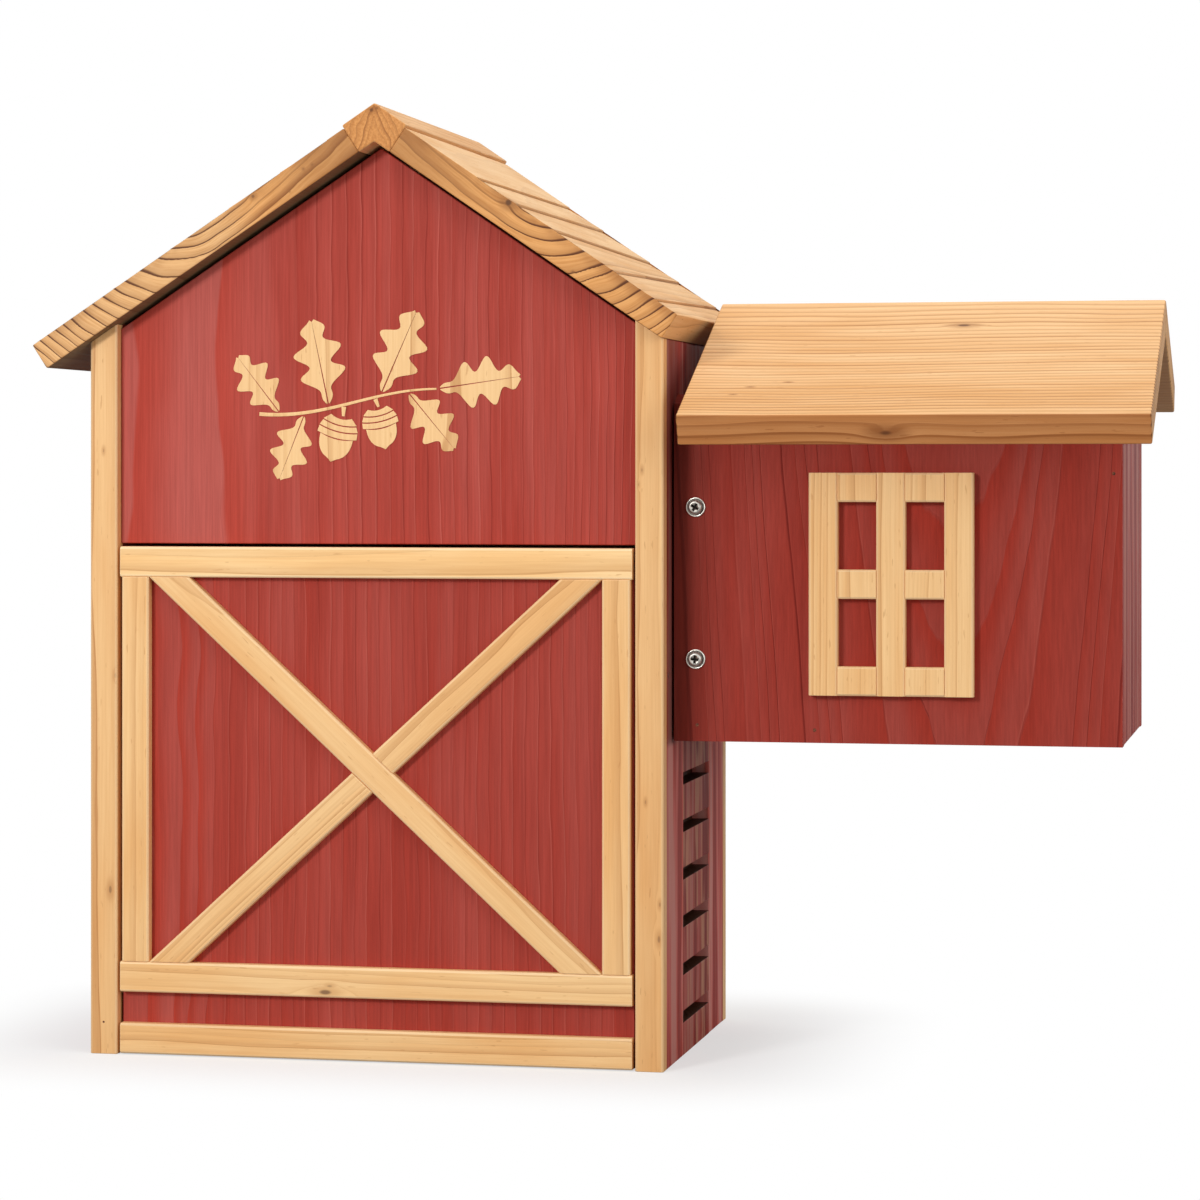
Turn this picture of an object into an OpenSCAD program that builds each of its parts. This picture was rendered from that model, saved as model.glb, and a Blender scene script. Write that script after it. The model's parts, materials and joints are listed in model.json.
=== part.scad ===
// Squirrel house: a gabled nest box with a swing-out front, a side porch and a grooved ladder.
// The origin is the centre of the main house's base. +Z is up, the front faces -Y and the porch is at +X.

/* [House] */
// Width of the main house over its side walls
body_w = 330; // [280:5:400]
// Depth from the front of the corner posts to the back of the back board
body_d = 202; // [180:2:240]
// Height of the side walls at their outer faces
wall_h = 402; // [380:2:460]
// Rise of the roof's underside from the side walls to the ridge
gable_rise = 110; // [90:2:130]
// Distance of the ridge line to the right of the centre line
ridge_shift = 3.5; // [-8:0.5:8]

/* [Boards] */
// Thickness of the side walls, and width of the corner posts that cover their front edges
wall_t = 16; // [12:1:20]
// Thickness of the gable panel and of the door panel
panel_t = 16; // [12:1:18]
// Thickness of the back board
back_t = 10; // [8:1:16]
// Thickness of the nest floor
floor_t = 16; // [12:1:20]
// Thickness of the corner posts, front to back
post_t = 10; // [8:0.5:13]
// Thickness of the applied trims, which stand level with the posts
trim_t = 6.4; // [4:0.2:7]
// Width of the stiles, braces and window bars
trim_w = 16; // [12:1:20]
// Height of the door's rails and kick board
rail_h = 17.2; // [14:0.2:20]
// Chamfer along the front edges of posts and trims
arris = 1; // [0.4:0.1:1.6]

/* [Door] */
// Height of the door's top edge above the ground
door_top = 286.8; // [270:0.2:310]
// Gap between the door's top edge and the gable panel
door_top_gap = 1.7; // [1.5:0.1:3]
// Gap between the door and the post on each side
door_side_gap = 1.6; // [1:0.1:3]
// Gap between the door's lower edge and the ground
door_foot_gap = 0.6; // [0.4:0.1:2]
// Gap between the closed door and the nest floor that stops it
door_stop_gap = 0.3; // [0.2:0.1:1]
// Height of the bottom rail's lower edge above the ground
bottom_rail_z = 35.4; // [30:0.2:50]
// Distance of the stiles in from the ends of the rails
stile_inset = 1; // [0.5:0.5:3]
// Depth of the pivot pins below the door's top edge
pivot_drop = 70; // [60:1:90]
// Diameter of the pivot pins
pin_d = 3.5; // [3:0.1:5]
// Length of pin inside the edge of the door
pin_reach = 25; // [15:1:40]
// Running clearance round a pin, on the radius
pin_clearance = 0.06; // [0.03:0.01:0.1]

/* [Roof] */
// Thickness of the roof boards
roof_t = 16; // [12:1:20]
// Overhang in front of the corner posts
roof_front = 9; // [4:1:20]
// Overhang behind the back board
roof_back = 34; // [10:1:40]
// Reach of the left board's underside past the left wall
eave_left = 22.7; // [15:0.1:40]
// Reach of the right board's underside past the right wall
eave_right = 0.6; // [0.2:0.1:5]
// Half width of the ridge cap, along the slope of its underside
cap_reach = 10.5; // [8:0.5:16]
// Height of the ridge cap above the roof boards
cap_step = 1.8; // [1:0.1:3]
// Gap between the gable panel and the underside of the roof
gable_gap = 2.6; // [0.5:0.1:4]
// Gap between the back board and the underside of the roof
back_gap = 0.4; // [0.2:0.1:1.5]
// Reach of the ridge batten down each slope
batten_reach = 26; // [20:1:40]

/* [Porch] */
// Length of the porch's front wall
porch_l = 246.3; // [220:0.1:300]
// Gap between the porch's long walls and the house
porch_gap = 1.5; // [1:0.1:3]
// Setback of the porch's front wall behind the corner posts
porch_setback = 23.5; // [16:0.5:40]
// Height of the porch's underside above the ground
porch_z = 180; // [165:1:190]
// Thickness of the porch's walls and floor
porch_t = 12; // [9:1:15]
// Height of the porch's ridge above the ground
porch_ridge_z = 426; // [415:1:440]
// Pitch of the porch roof
porch_pitch = 24.2; // [20:0.2:28]
// Thickness of the porch's roof boards
porch_roof_t = 17.5; // [12:0.5:19]
// Gap between the porch roof and the house's right eave
porch_roof_gap = 3.6; // [2:0.1:8]
// Overhang past the porch's end wall
porch_roof_end = 18.7; // [8:0.1:30]
// Overhang in front of the porch's front wall
porch_eave_front = 59.5; // [40:0.5:70]
// Overhang behind the porch's back wall
porch_eave_back = 14; // [8:0.5:20]
// Length of the notch in the porch floor, from the house
hatch_l = 80; // [60:1:100]
// Width of the cleats that carry the porch, out from the house
cleat_w = 24; // [20:1:30]
// Thickness of the cleats, front to back
cleat_t = 16; // [12:1:20]
// Length of the cleats
cleat_h = 150; // [140:2:156]

/* [Ladder] */
// Distance of the ladder board behind the front of the corner posts
ladder_setback = 60; // [52:1:64]
// Width of the ladder board and of the doorway above it
ladder_w = 84; // [76:1:88]
// Height of the lowest groove's lower edge above the ground
groove_z = 18.2; // [16:0.2:26]
// Spacing of the grooves
groove_pitch = 26.9; // [24:0.1:32]
// Height of each groove
groove_h = 6.8; // [5:0.1:9]
// Depth of each groove into the board
groove_depth = 10; // [7:0.5:11]
// Height of wood kept between the top groove and the doorway
sill_h = 12; // [8:1:20]
// Height of the doorway's sill above the ground
doorway_z = 206; // [200:1:220]
// Height of the doorway
doorway_h = 76; // [64:1:90]

/* [Window] */
// Distance of the window from the left end of the porch's front wall
window_inset = 76; // [60:1:90]
// Height of the window's lower edge above the ground
window_z = 206.4; // [195:0.2:215]
// Width of each pane
pane_w = 21.2; // [16:0.1:26]
// Height of each pane
pane_h = 37; // [30:0.5:40]

/* [Fasteners] */
// Distance of the porch screws from the end of the porch's front wall
screw_inset = 12.2; // [10:0.1:15]
// Height of the lower screws above the ground
screw_z = 225.4; // [215:0.2:235]
// Height from the lower screws to the upper ones
screw_spacing = 84; // [60:1:100]
// Diameter of the screws' shanks
screw_d = 4; // [3:0.5:5]
// Length of the screws' shanks from the face of the wall
screw_l = 26; // [18:1:27]
// Diameter of the screws' heads
head_d = 8; // [6.5:0.5:9]
// Height of the screws' heads
head_h = 2.6; // [1.6:0.1:3.4]
// Diameter of the washers
washer_d = 11; // [10:0.5:14]
// Thickness of the washers
washer_t = 1; // [0.6:0.1:1.6]
// Clearance of the screws in walls and washers, on the radius
screw_clearance = 0.3; // [0.1:0.05:0.6]
// Diameter of the mounting holes in the back board
mount_hole_d = 6.5; // [4.5:0.5:8]
// Height of the lower mounting hole above the ground
mount_hole_z = 60; // [40:1:80]
// Height from the lower mounting hole to the upper one
mount_hole_spacing = 140; // [100:5:160]

/* [Hidden] */
$fn = 48;

stain = [0.62, 0.2, 0.17];
pine = [0.93, 0.76, 0.54];
cedar = [0.85, 0.65, 0.42];
steel = [0.72, 0.71, 0.68];

// Planes of the main house
left_x = -body_w / 2;
right_x = body_w / 2;
inner_w = body_w - 2 * wall_t;
front_y = -body_d / 2;
back_y = body_d / 2;
panel_y = front_y + trim_t;
wall_front_y = front_y + post_t;
wall_back_y = back_y - back_t;

// The roof's underside: its ridge, and each slope's pitch, direction and outward normal
ridge = [ridge_shift, wall_h + gable_rise];
left_pitch = atan(gable_rise / (ridge_shift - left_x));
right_pitch = atan(gable_rise / (right_x - ridge_shift));
left_down = [-cos(left_pitch), -sin(left_pitch)];
left_out = [-sin(left_pitch), cos(left_pitch)];
right_down = [cos(right_pitch), -sin(right_pitch)];
right_out = [sin(right_pitch), cos(right_pitch)];
left_slope_l = (ridge_shift - left_x + eave_left) / cos(left_pitch);
right_slope_l = (right_x + eave_right - ridge_shift) / cos(right_pitch);
right_eave_tip = ridge + right_down * right_slope_l + right_out * roof_t;
roof_y0 = front_y - roof_front;
roof_y1 = back_y + roof_back;
cap_t = roof_t + cap_step;

// The door, between the posts and below the gable panel
door_w = inner_w - 2 * door_side_gap;
door_h = door_top - door_foot_gap;
pivot_y = panel_y + panel_t / 2;
pivot_z = door_top - pivot_drop;
stile_x = door_w / 2 - stile_inset - trim_w;
brace_z0 = bottom_rail_z + rail_h;
brace_z1 = door_top - rail_h;

// The porch
porch_x0 = right_x + porch_gap;
porch_x1 = porch_x0 + porch_l;
porch_y0 = front_y + porch_setback;
porch_y1 = back_y;
porch_ridge_y = (porch_y0 + porch_y1) / 2;
porch_drop = porch_roof_t / cos(porch_pitch);
porch_roof_x0 = right_eave_tip[0] + porch_roof_gap;
porch_roof_x1 = porch_x1 + porch_roof_end;
screw_x = porch_x0 + screw_inset;

// The ladder board and the doorway above it
ladder_y0 = front_y + ladder_setback;
ladder_y1 = ladder_y0 + ladder_w;
groove_count = floor((doorway_z - sill_h - groove_h - groove_z) / groove_pitch) + 1;

// Height of the main roof's underside at a place across the house
function roof_z(x) = ridge[1] - (x < ridge[0] ? (ridge[0] - x) * tan(left_pitch)
                                              : (x - ridge[0]) * tan(right_pitch));

// Height of the porch roof's underside at a place front to back
function porch_roof_z(y) = porch_ridge_z - porch_drop - abs(y - porch_ridge_y) * tan(porch_pitch);

// A block between two opposite corners
module block(low, high) {
    translate(low) cube(high - low);
}

// An outline in X and Z, drawn out from y0 to y1
module along_y(outline, y0, y1) {
    translate([0, y1, 0]) rotate([90, 0, 0]) linear_extrude(y1 - y0) polygon(outline);
}

// An outline in Y and Z, drawn out from x0 to x1
module along_x(outline, x0, x1) {
    translate([x0, 0, 0]) rotate([90, 0, 90]) linear_extrude(x1 - x0) polygon(outline);
}

// An outline across a board in U and Y, with its front at y0 and its two front edges chamfered
function trim_outline(w, t, y0) = [[0, y0 + t], [0, y0 + arris], [arris, y0], [w - arris, y0],
                                   [w, y0 + arris], [w, y0 + t]];

// A level trim with its front at y0
module level_trim(x0, z0, l, w, t, y0) {
    translate([x0, 0, z0]) rotate([0, 90, 0]) mirror([1, 0, 0])
        linear_extrude(l) polygon(trim_outline(w, t, y0));
}

// An upright trim with its front at y0
module upright_trim(x0, z0, w, h, t, y0) {
    translate([x0, 0, z0]) linear_extrude(h) polygon(trim_outline(w, t, y0));
}

// Outline of a side wall between two places across the house, up to the roof's underside
function wall_outline(x0, x1, z0) = [[x0, z0], [x1, z0], [x1, roof_z(x1)], [x0, roof_z(x0)]];

// A hole along X through a wall for a pivot pin, or the pin itself
module pivot_rod(x0, x1, r) {
    translate([x0, pivot_y, pivot_z]) rotate([0, 90, 0]) cylinder(r = r, h = x1 - x0);
}

// The four places of the porch screws: each child is drawn with its head's seat at the origin,
// and its shank along +Y
module at_porch_screws() {
    for (z = [screw_z, screw_z + screw_spacing]) {
        translate([screw_x, porch_y0, z]) children();
        translate([screw_x, porch_y1, z]) rotate([0, 0, 180]) children();
    }
}

// A rod along +Y from the wall's face
module screw_rod(r, y0, y1) {
    translate([0, y0, 0]) rotate([-90, 0, 0]) cylinder(r = r, h = y1 - y0);
}

module nest_floor() {
    color(pine) block([left_x + wall_t, panel_y + panel_t + door_stop_gap, 0],
                      [right_x - wall_t, wall_back_y, floor_t]);
}

module back_board() {
    color(pine) difference() {
        along_y([[left_x, 0], [right_x, 0], [right_x, roof_z(right_x) - back_gap],
                 [ridge[0], ridge[1] - back_gap], [left_x, roof_z(left_x) - back_gap]],
                wall_back_y, back_y);
        for (z = [mount_hole_z, mount_hole_z + mount_hole_spacing])
            translate([0, back_y + 1, z]) rotate([90, 0, 0])
                cylinder(d = mount_hole_d, h = back_t + 2);
    }
}

module left_wall() {
    color(stain) difference() {
        along_y(wall_outline(left_x, left_x + wall_t, 0), wall_front_y, wall_back_y);
        pivot_rod(left_x - 1, left_x + wall_t + 1, pin_d / 2);
    }
}

module right_wall_front_board() {
    color(stain) difference() {
        along_y(wall_outline(right_x - wall_t, right_x, 0), wall_front_y, ladder_y0);
        pivot_rod(right_x - wall_t - 1, right_x + 1, pin_d / 2);
    }
}

module right_wall_rear_board() {
    color(stain) along_y(wall_outline(right_x - wall_t, right_x, 0), ladder_y1, wall_back_y);
}

// The board that the squirrel climbs: level grooves are sawn right across its outer face
module ladder_board() {
    color(stain) difference() {
        block([right_x - wall_t, ladder_y0, 0], [right_x, ladder_y1, doorway_z]);
        for (i = [0:groove_count - 1])
            translate([right_x - groove_depth, ladder_y0 - 1, groove_z + i * groove_pitch])
                cube([groove_depth + 1, ladder_w + 2, groove_h]);
    }
}

module doorway_lintel() {
    color(stain) along_y(wall_outline(right_x - wall_t, right_x, doorway_z + doorway_h),
                         ladder_y0, ladder_y1);
}

module gable_panel() {
    x = inner_w / 2;
    z0 = door_top + door_top_gap;
    color(stain) along_y([[-x, z0], [x, z0], [x, roof_z(x) - gable_gap],
                          [ridge[0], ridge[1] - gable_gap], [-x, roof_z(-x) - gable_gap]],
                         panel_y, panel_y + panel_t);
}

module corner_post(x0) {
    intersection() {
        upright_trim(x0, 0, wall_t, ridge[1], post_t, front_y);
        along_y(wall_outline(x0, x0 + wall_t, 0), front_y - 1, wall_front_y + 1);
    }
}

module left_corner_post() {
    color(pine) corner_post(left_x);
}

module right_corner_post() {
    color(pine) corner_post(right_x - wall_t);
}

module roof_left_board() {
    color(cedar) along_y([ridge + left_down * cap_reach, ridge + left_down * cap_reach + left_out * roof_t,
                          ridge + left_down * left_slope_l + left_out * roof_t,
                          ridge + left_down * left_slope_l], roof_y0, roof_y1);
}

module roof_right_board() {
    color(cedar) along_y([ridge + right_down * cap_reach, ridge + right_down * right_slope_l,
                          right_eave_tip, ridge + right_down * cap_reach + right_out * roof_t],
                         roof_y0, roof_y1);
}

module ridge_cap() {
    spread = sin(left_pitch + right_pitch);
    peak = ridge + cap_t * [cos(left_pitch) - cos(right_pitch), sin(left_pitch) + sin(right_pitch)] / spread;
    color(cedar) along_y([ridge, ridge + right_down * cap_reach,
                          ridge + right_down * cap_reach + right_out * cap_t, peak,
                          ridge + left_down * cap_reach + left_out * cap_t,
                          ridge + left_down * cap_reach], roof_y0, roof_y1);
}

module ridge_batten() {
    color(pine) along_y([ridge, ridge + left_down * batten_reach, ridge + right_down * batten_reach],
                        panel_y + panel_t, wall_back_y);
}

module door_panel() {
    x = door_w / 2;
    color(stain) difference() {
        block([-x, panel_y, door_foot_gap], [x, panel_y + panel_t, door_top]);
        pivot_rod(-x - 1, -x + pin_reach + 1, pin_d / 2 + pin_clearance);
        pivot_rod(x - pin_reach - 1, x + 1, pin_d / 2 + pin_clearance);
    }
}

module door_rail(z0, h) {
    color(pine) level_trim(-door_w / 2, z0, door_w, h, trim_t, front_y);
}

module door_top_rail() {
    door_rail(door_top - rail_h, rail_h);
}

module door_bottom_rail() {
    door_rail(bottom_rail_z, rail_h);
}

module door_kick_board() {
    door_rail(door_foot_gap, rail_h);
}

module door_stile(x0) {
    color(pine) upright_trim(x0, brace_z0, trim_w, brace_z1 - brace_z0, trim_t, front_y);
}

module door_left_stile() {
    door_stile(-stile_x - trim_w);
}

module door_right_stile() {
    door_stile(stile_x);
}

// The frame's opening inside the stiles and rails, which the crossed braces fill corner to corner
brace_w = 2 * stile_x;
brace_h = brace_z1 - brace_z0;
brace_mid = [0, (brace_z0 + brace_z1) / 2];
brace_diagonal = sqrt(brace_w * brace_w + brace_h * brace_h);
brace_angle = atan(brace_h / brace_w) + asin(trim_w / brace_diagonal);

// A brace that rises to the right: side is 1, or falls to the right: side is -1. It is drawn long,
// and cut level at the rails
module brace(side) {
    intersection() {
        translate([brace_mid[0], 0, brace_mid[1]]) rotate([0, -side * brace_angle, 0])
            level_trim(-brace_diagonal, -trim_w / 2, 2 * brace_diagonal, trim_w, trim_t, front_y);
        block([-stile_x, front_y - 1, brace_z0], [stile_x, front_y + trim_t + 1, brace_z1]);
    }
}

module door_long_brace() {
    color(pine) brace(-1);
}

// The rising brace is in two pieces, one each side of the long brace: up is 1 or -1
module short_brace(up) {
    far = 2 * brace_diagonal;
    color(pine) intersection() {
        brace(1);
        translate([brace_mid[0], 0, brace_mid[1]]) rotate([0, brace_angle, 0])
            translate([-far / 2, front_y - 1, up > 0 ? trim_w / 2 : -trim_w / 2 - far])
                cube([far, trim_t + 2, far]);
    }
}

module door_upper_brace() {
    short_brace(1);
}

module door_lower_brace() {
    short_brace(-1);
}

module left_pivot_pin() {
    color(steel) pivot_rod(left_x, -door_w / 2 + pin_reach, pin_d / 2);
}

module right_pivot_pin() {
    color(steel) pivot_rod(door_w / 2 - pin_reach, right_x, pin_d / 2);
}

// A long wall of the porch, with a bevelled top under the roof and holes for its screws
module porch_long_wall(y0, y1) {
    color(stain) difference() {
        along_x([[y0, porch_z], [y1, porch_z], [y1, porch_roof_z(y1)], [y0, porch_roof_z(y0)]],
                porch_x0, porch_x1);
        at_porch_screws() screw_rod(screw_d / 2 + screw_clearance, -1, porch_t + 1);
    }
}

module porch_front_wall() {
    porch_long_wall(porch_y0, porch_y0 + porch_t);
}

module porch_back_wall() {
    porch_long_wall(porch_y1 - porch_t, porch_y1);
}

module porch_end_wall() {
    y0 = porch_y0 + porch_t;
    y1 = porch_y1 - porch_t;
    color(stain) along_x([[y0, porch_z], [y1, porch_z], [y1, porch_roof_z(y1)],
                          [porch_ridge_y, porch_roof_z(porch_ridge_y)], [y0, porch_roof_z(y0)]],
                         porch_x1 - porch_t, porch_x1);
}

module porch_floor() {
    color(pine) difference() {
        block([porch_x0, porch_y0 + porch_t, porch_z], [porch_x1 - porch_t, porch_y1 - porch_t, porch_z + porch_t]);
        block([porch_x0 - 1, ladder_y0, porch_z - 1], [porch_x0 + hatch_l, ladder_y1, porch_z + porch_t + 1]);
    }
}

// A board of the porch roof, from the ridge to an eave that is cut square to the slope: side is -1 in
// front or 1 behind
module porch_roof_board(side, eave_y) {
    tip = [eave_y, porch_roof_z(eave_y) + porch_drop];
    color(cedar) along_x([[porch_ridge_y, porch_ridge_z - porch_drop],
                          tip - porch_roof_t * [side * sin(porch_pitch), cos(porch_pitch)], tip,
                          [porch_ridge_y, porch_ridge_z]], porch_roof_x0, porch_roof_x1);
}

module porch_roof_front_board() {
    porch_roof_board(-1, porch_y0 - porch_eave_front);
}

module porch_roof_back_board() {
    porch_roof_board(1, porch_y1 + porch_eave_back);
}

// A cleat on the right wall that a long wall of the porch is screwed to
module porch_cleat(y0, y1) {
    z = porch_z + porch_t;
    color(pine) difference() {
        block([right_x, y0, z], [right_x + cleat_w, y1, z + cleat_h]);
        at_porch_screws() screw_rod(screw_d / 2, 0, screw_l);
    }
}

module porch_front_cleat() {
    porch_cleat(porch_y0 + porch_t, porch_y0 + porch_t + cleat_t);
}

module porch_back_cleat() {
    porch_cleat(porch_y1 - porch_t - cleat_t, porch_y1 - porch_t);
}

// Window bars, planted on the porch's front wall: three stiles with three short rails in each bay
module window_stile(i) {
    color(pine) upright_trim(porch_x0 + window_inset + i * (trim_w + pane_w), window_z, trim_w,
                             3 * trim_w + 2 * pane_h, trim_t, porch_y0 - trim_t);
}

module window_rail(bay, row) {
    color(pine) level_trim(porch_x0 + window_inset + trim_w + bay * (trim_w + pane_w),
                           window_z + row * (trim_w + pane_h), pane_w, trim_w, trim_t, porch_y0 - trim_t);
}

// A pan head with a cross recess, on a plain shank
module porch_screw() {
    recess_w = 0.16 * head_d;
    recess_l = 0.6 * head_d;
    seat = -washer_t;
    difference() {
        union() {
            rotate([90, 0, 0]) translate([0, 0, -seat]) rotate_extrude()
                polygon([[0, 0], [head_d / 2, 0], [head_d / 2, head_h * 0.45], [head_d * 0.38, head_h * 0.85],
                         [head_d * 0.2, head_h], [0, head_h]]);
            screw_rod(screw_d / 2, seat, screw_l);
        }
        for (a = [0, 90])
            rotate([0, a, 0]) translate([-recess_l / 2, seat - head_h - 1, -recess_w / 2])
                cube([recess_l, head_h * 0.6 + 1, recess_w]);
    }
}

module porch_screws() {
    color(steel) at_porch_screws() porch_screw();
}

module porch_screw_washers() {
    color(steel) at_porch_screws() difference() {
        screw_rod(washer_d / 2, -washer_t, 0);
        screw_rod(screw_d / 2 + screw_clearance, -washer_t - 1, 1);
    }
}

nest_floor();
back_board();
left_wall();
right_wall_front_board();
right_wall_rear_board();
ladder_board();
doorway_lintel();
gable_panel();
left_corner_post();
right_corner_post();
roof_left_board();
roof_right_board();
ridge_cap();
ridge_batten();
door_panel();
door_top_rail();
door_bottom_rail();
door_kick_board();
door_left_stile();
door_right_stile();
door_long_brace();
door_upper_brace();
door_lower_brace();
left_pivot_pin();
right_pivot_pin();
porch_front_wall();
porch_back_wall();
porch_end_wall();
porch_floor();
porch_roof_front_board();
porch_roof_back_board();
porch_front_cleat();
porch_back_cleat();
window_stile(0);  // window_left_stile
window_stile(1);  // window_middle_stile
window_stile(2);  // window_right_stile
window_rail(0, 0);  // window_left_bottom_rail
window_rail(0, 1);  // window_left_middle_rail
window_rail(0, 2);  // window_left_top_rail
window_rail(1, 0);  // window_right_bottom_rail
window_rail(1, 1);  // window_right_middle_rail
window_rail(1, 2);  // window_right_top_rail
porch_screws();
porch_screw_washers();
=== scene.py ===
"""Squirrel house: stained barn boards, planed pine trims and two weathered plank roofs."""

import json
import math
from bisect import bisect_right

import bmesh
import bpy
from bpy.props import FloatProperty, FloatVectorProperty, IntProperty, PointerProperty
from bpy.types import Operator, Panel, PropertyGroup
from mathutils import Matrix, Vector, noise


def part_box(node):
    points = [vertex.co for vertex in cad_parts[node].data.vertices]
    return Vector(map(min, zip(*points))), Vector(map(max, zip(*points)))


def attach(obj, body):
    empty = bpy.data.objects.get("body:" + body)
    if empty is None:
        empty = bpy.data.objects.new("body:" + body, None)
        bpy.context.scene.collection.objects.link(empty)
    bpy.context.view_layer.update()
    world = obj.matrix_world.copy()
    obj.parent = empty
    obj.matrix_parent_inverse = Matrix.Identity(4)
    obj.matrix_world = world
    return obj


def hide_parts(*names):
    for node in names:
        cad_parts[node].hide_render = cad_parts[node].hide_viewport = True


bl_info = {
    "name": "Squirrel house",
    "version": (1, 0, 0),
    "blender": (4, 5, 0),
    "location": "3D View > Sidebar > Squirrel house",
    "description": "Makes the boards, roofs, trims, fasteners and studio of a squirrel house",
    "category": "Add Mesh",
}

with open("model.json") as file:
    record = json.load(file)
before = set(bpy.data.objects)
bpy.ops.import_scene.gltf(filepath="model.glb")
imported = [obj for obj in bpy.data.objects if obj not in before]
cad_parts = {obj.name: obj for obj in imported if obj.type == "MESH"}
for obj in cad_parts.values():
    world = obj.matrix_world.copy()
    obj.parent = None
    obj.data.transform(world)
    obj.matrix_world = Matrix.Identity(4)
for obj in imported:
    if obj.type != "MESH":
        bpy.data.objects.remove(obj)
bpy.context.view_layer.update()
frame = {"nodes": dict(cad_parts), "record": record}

MM = 0.001
RECORD = frame["record"]
SLOT_OF = {part["node"]: part["material_slot"] for part in RECORD["subparts"]}
BODY_OF = {node: body for body, nodes in RECORD["behaviour"]["bodies"].items() for node in nodes}

UP = Vector((0, 0, 1))
RIGHT = Vector((1, 0, 0))
LEFT = Vector((-1, 0, 0))
FORWARD = Vector((0, -1, 0))
BACKWARD = Vector((0, 1, 0))


def a_colour(name, description, *default):
    """A colour that a user may change."""
    return FloatVectorProperty(name=name, description=description, default=default, subtype="COLOR",
                               min=0, max=1)


def a_length(name, description, default, low, high):
    """A length that a user may change, given here in millimetres."""
    return FloatProperty(name=name, description=description, default=default * MM, min=low * MM,
                         max=high * MM, unit="LENGTH", precision=4)


def a_place(name, description, *default):
    """A place that a user may change, in metres."""
    return FloatVectorProperty(name=name, description=description, default=default,
                               subtype="TRANSLATION", unit="LENGTH")


def a_number(name, description, default, low=0.0, high=1000.0):
    """A number that a user may change."""
    return FloatProperty(name=name, description=description, default=default, min=low, max=high)


def an_angle(name, description, degrees):
    """An angle that a user may change, given here in degrees."""
    return FloatProperty(name=name, description=description, default=math.radians(degrees), unit="ROTATION")


class StainSettings(PropertyGroup):
    """The barn-red stain on the wall boards."""

    deep: a_colour("Deep red", "Stain where the wood drank most of it", 0.385, 0.045, 0.030)
    light: a_colour("Light red", "Stain where it lies thin on the wood", 0.455, 0.072, 0.053)
    dusty: a_colour("Dusty red", "Stain in the broad bands of soft wood", 0.490, 0.104, 0.083)
    late: a_colour("Late red", "Stain in the hard wood that ends a ring", 0.440, 0.040, 0.021)
    line: a_colour("Line", "Stain gathered along a growth ring", 0.190, 0.015, 0.011)
    # painted highlight along the raised edge of each growth ring, where the stain also lies thin
    glint: a_colour("Ridge", "Stain rubbed thin on the raised edge of a growth ring", 0.600, 0.155, 0.115)
    bleached: a_colour("Bleached red", "Stain that weather has turned grey", 0.460, 0.175, 0.140)
    # painted shade: the colour that the corner beside the porch is darkened towards
    dirt: a_colour("Dirt", "Dirt in the corner beside the porch", 0.065, 0.010, 0.006)
    # painted shade: the grooves' bare wood darkened near to black
    groove_shade: a_colour("Groove", "Wood inside the ladder's grooves", 0.060, 0.020, 0.008)
    ring: a_number("Ring width", "Width of a growth ring, in millimetres", 5.2, 1, 15)
    wander: a_number("Wander", "How far a growth ring strays from a circle, in millimetres", 8.0, 0, 40)


class PineSettings(PropertyGroup):
    """The planed pine of the posts, trims and window bars."""

    pale: a_colour("Pale wood", "Wood that grew in spring", 0.915, 0.585, 0.272)
    warm: a_colour("Warm wood", "Broad bands of darker wood", 0.840, 0.445, 0.160)
    line: a_colour("Line", "Wood that grew in late summer", 0.56, 0.255, 0.080)
    # painted highlight along the rounded edges, with the paler wood that sanding bares there
    rim: a_colour("Rim", "Wood that shows along the sanded edges", 0.960, 0.720, 0.430)
    ring: a_number("Ring width", "Width of a growth ring, in millimetres", 4.2, 1, 15)
    wander: a_number("Wander", "How far a growth ring strays from a circle, in millimetres", 12.0, 0, 40)


class RoofSettings(PropertyGroup):
    """The thick, weathered planks of both roofs."""

    pale: a_colour("Pale wood", "Soft wood between the rings", 0.86, 0.555, 0.285)
    warm: a_colour("Warm wood", "Broad bands of darker wood", 0.72, 0.385, 0.145)
    line: a_colour("Line", "Hard edge of a growth ring", 0.110, 0.034, 0.011)
    end: a_colour("End grain", "Sawn ends of the planks", 0.86, 0.505, 0.225)
    end_dark: a_colour("Dark end grain", "Fine darker streaks in the sawn ends", 0.66, 0.330, 0.115)
    deepened: a_colour("Deepened", "What weather multiplies the sawn ends' colour by", 0.94, 0.79, 0.60)
    warm_line: a_colour("Soft line", "Shade that leads up to a growth ring in the sawn ends",
                        0.33, 0.135, 0.040)
    under: a_colour("Underside", "Grey and brown wood of the undersides", 0.44, 0.285, 0.145)
    knot: a_colour("Knot", "Knots", 0.12, 0.05, 0.022)
    ring: a_length("Ring width", "Width of a growth ring", 4.9, 1, 15)
    step: a_length("Raised grain", "Depth of the worn dip beside a growth ring", 0.75, 0, 2)
    lap: a_length("Lap", "Depth of the stepped laps that are carved across the slope", 1.4, 0, 3)
    across_step: a_length("Mesh across the grain", "Spacing of the mesh across a plank", 0.9, 0.3, 5)
    along_step: a_length("Mesh along the grain", "Spacing of the mesh along a plank", 3.5, 1, 20)
    through_step: a_length("Mesh through the plank", "Spacing of the mesh through a plank's thickness",
                           2, 0.5, 10)
    round_edge: a_length("Worn edge", "Radius of the planks' worn edges", 1.1, 0.1, 4)


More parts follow.
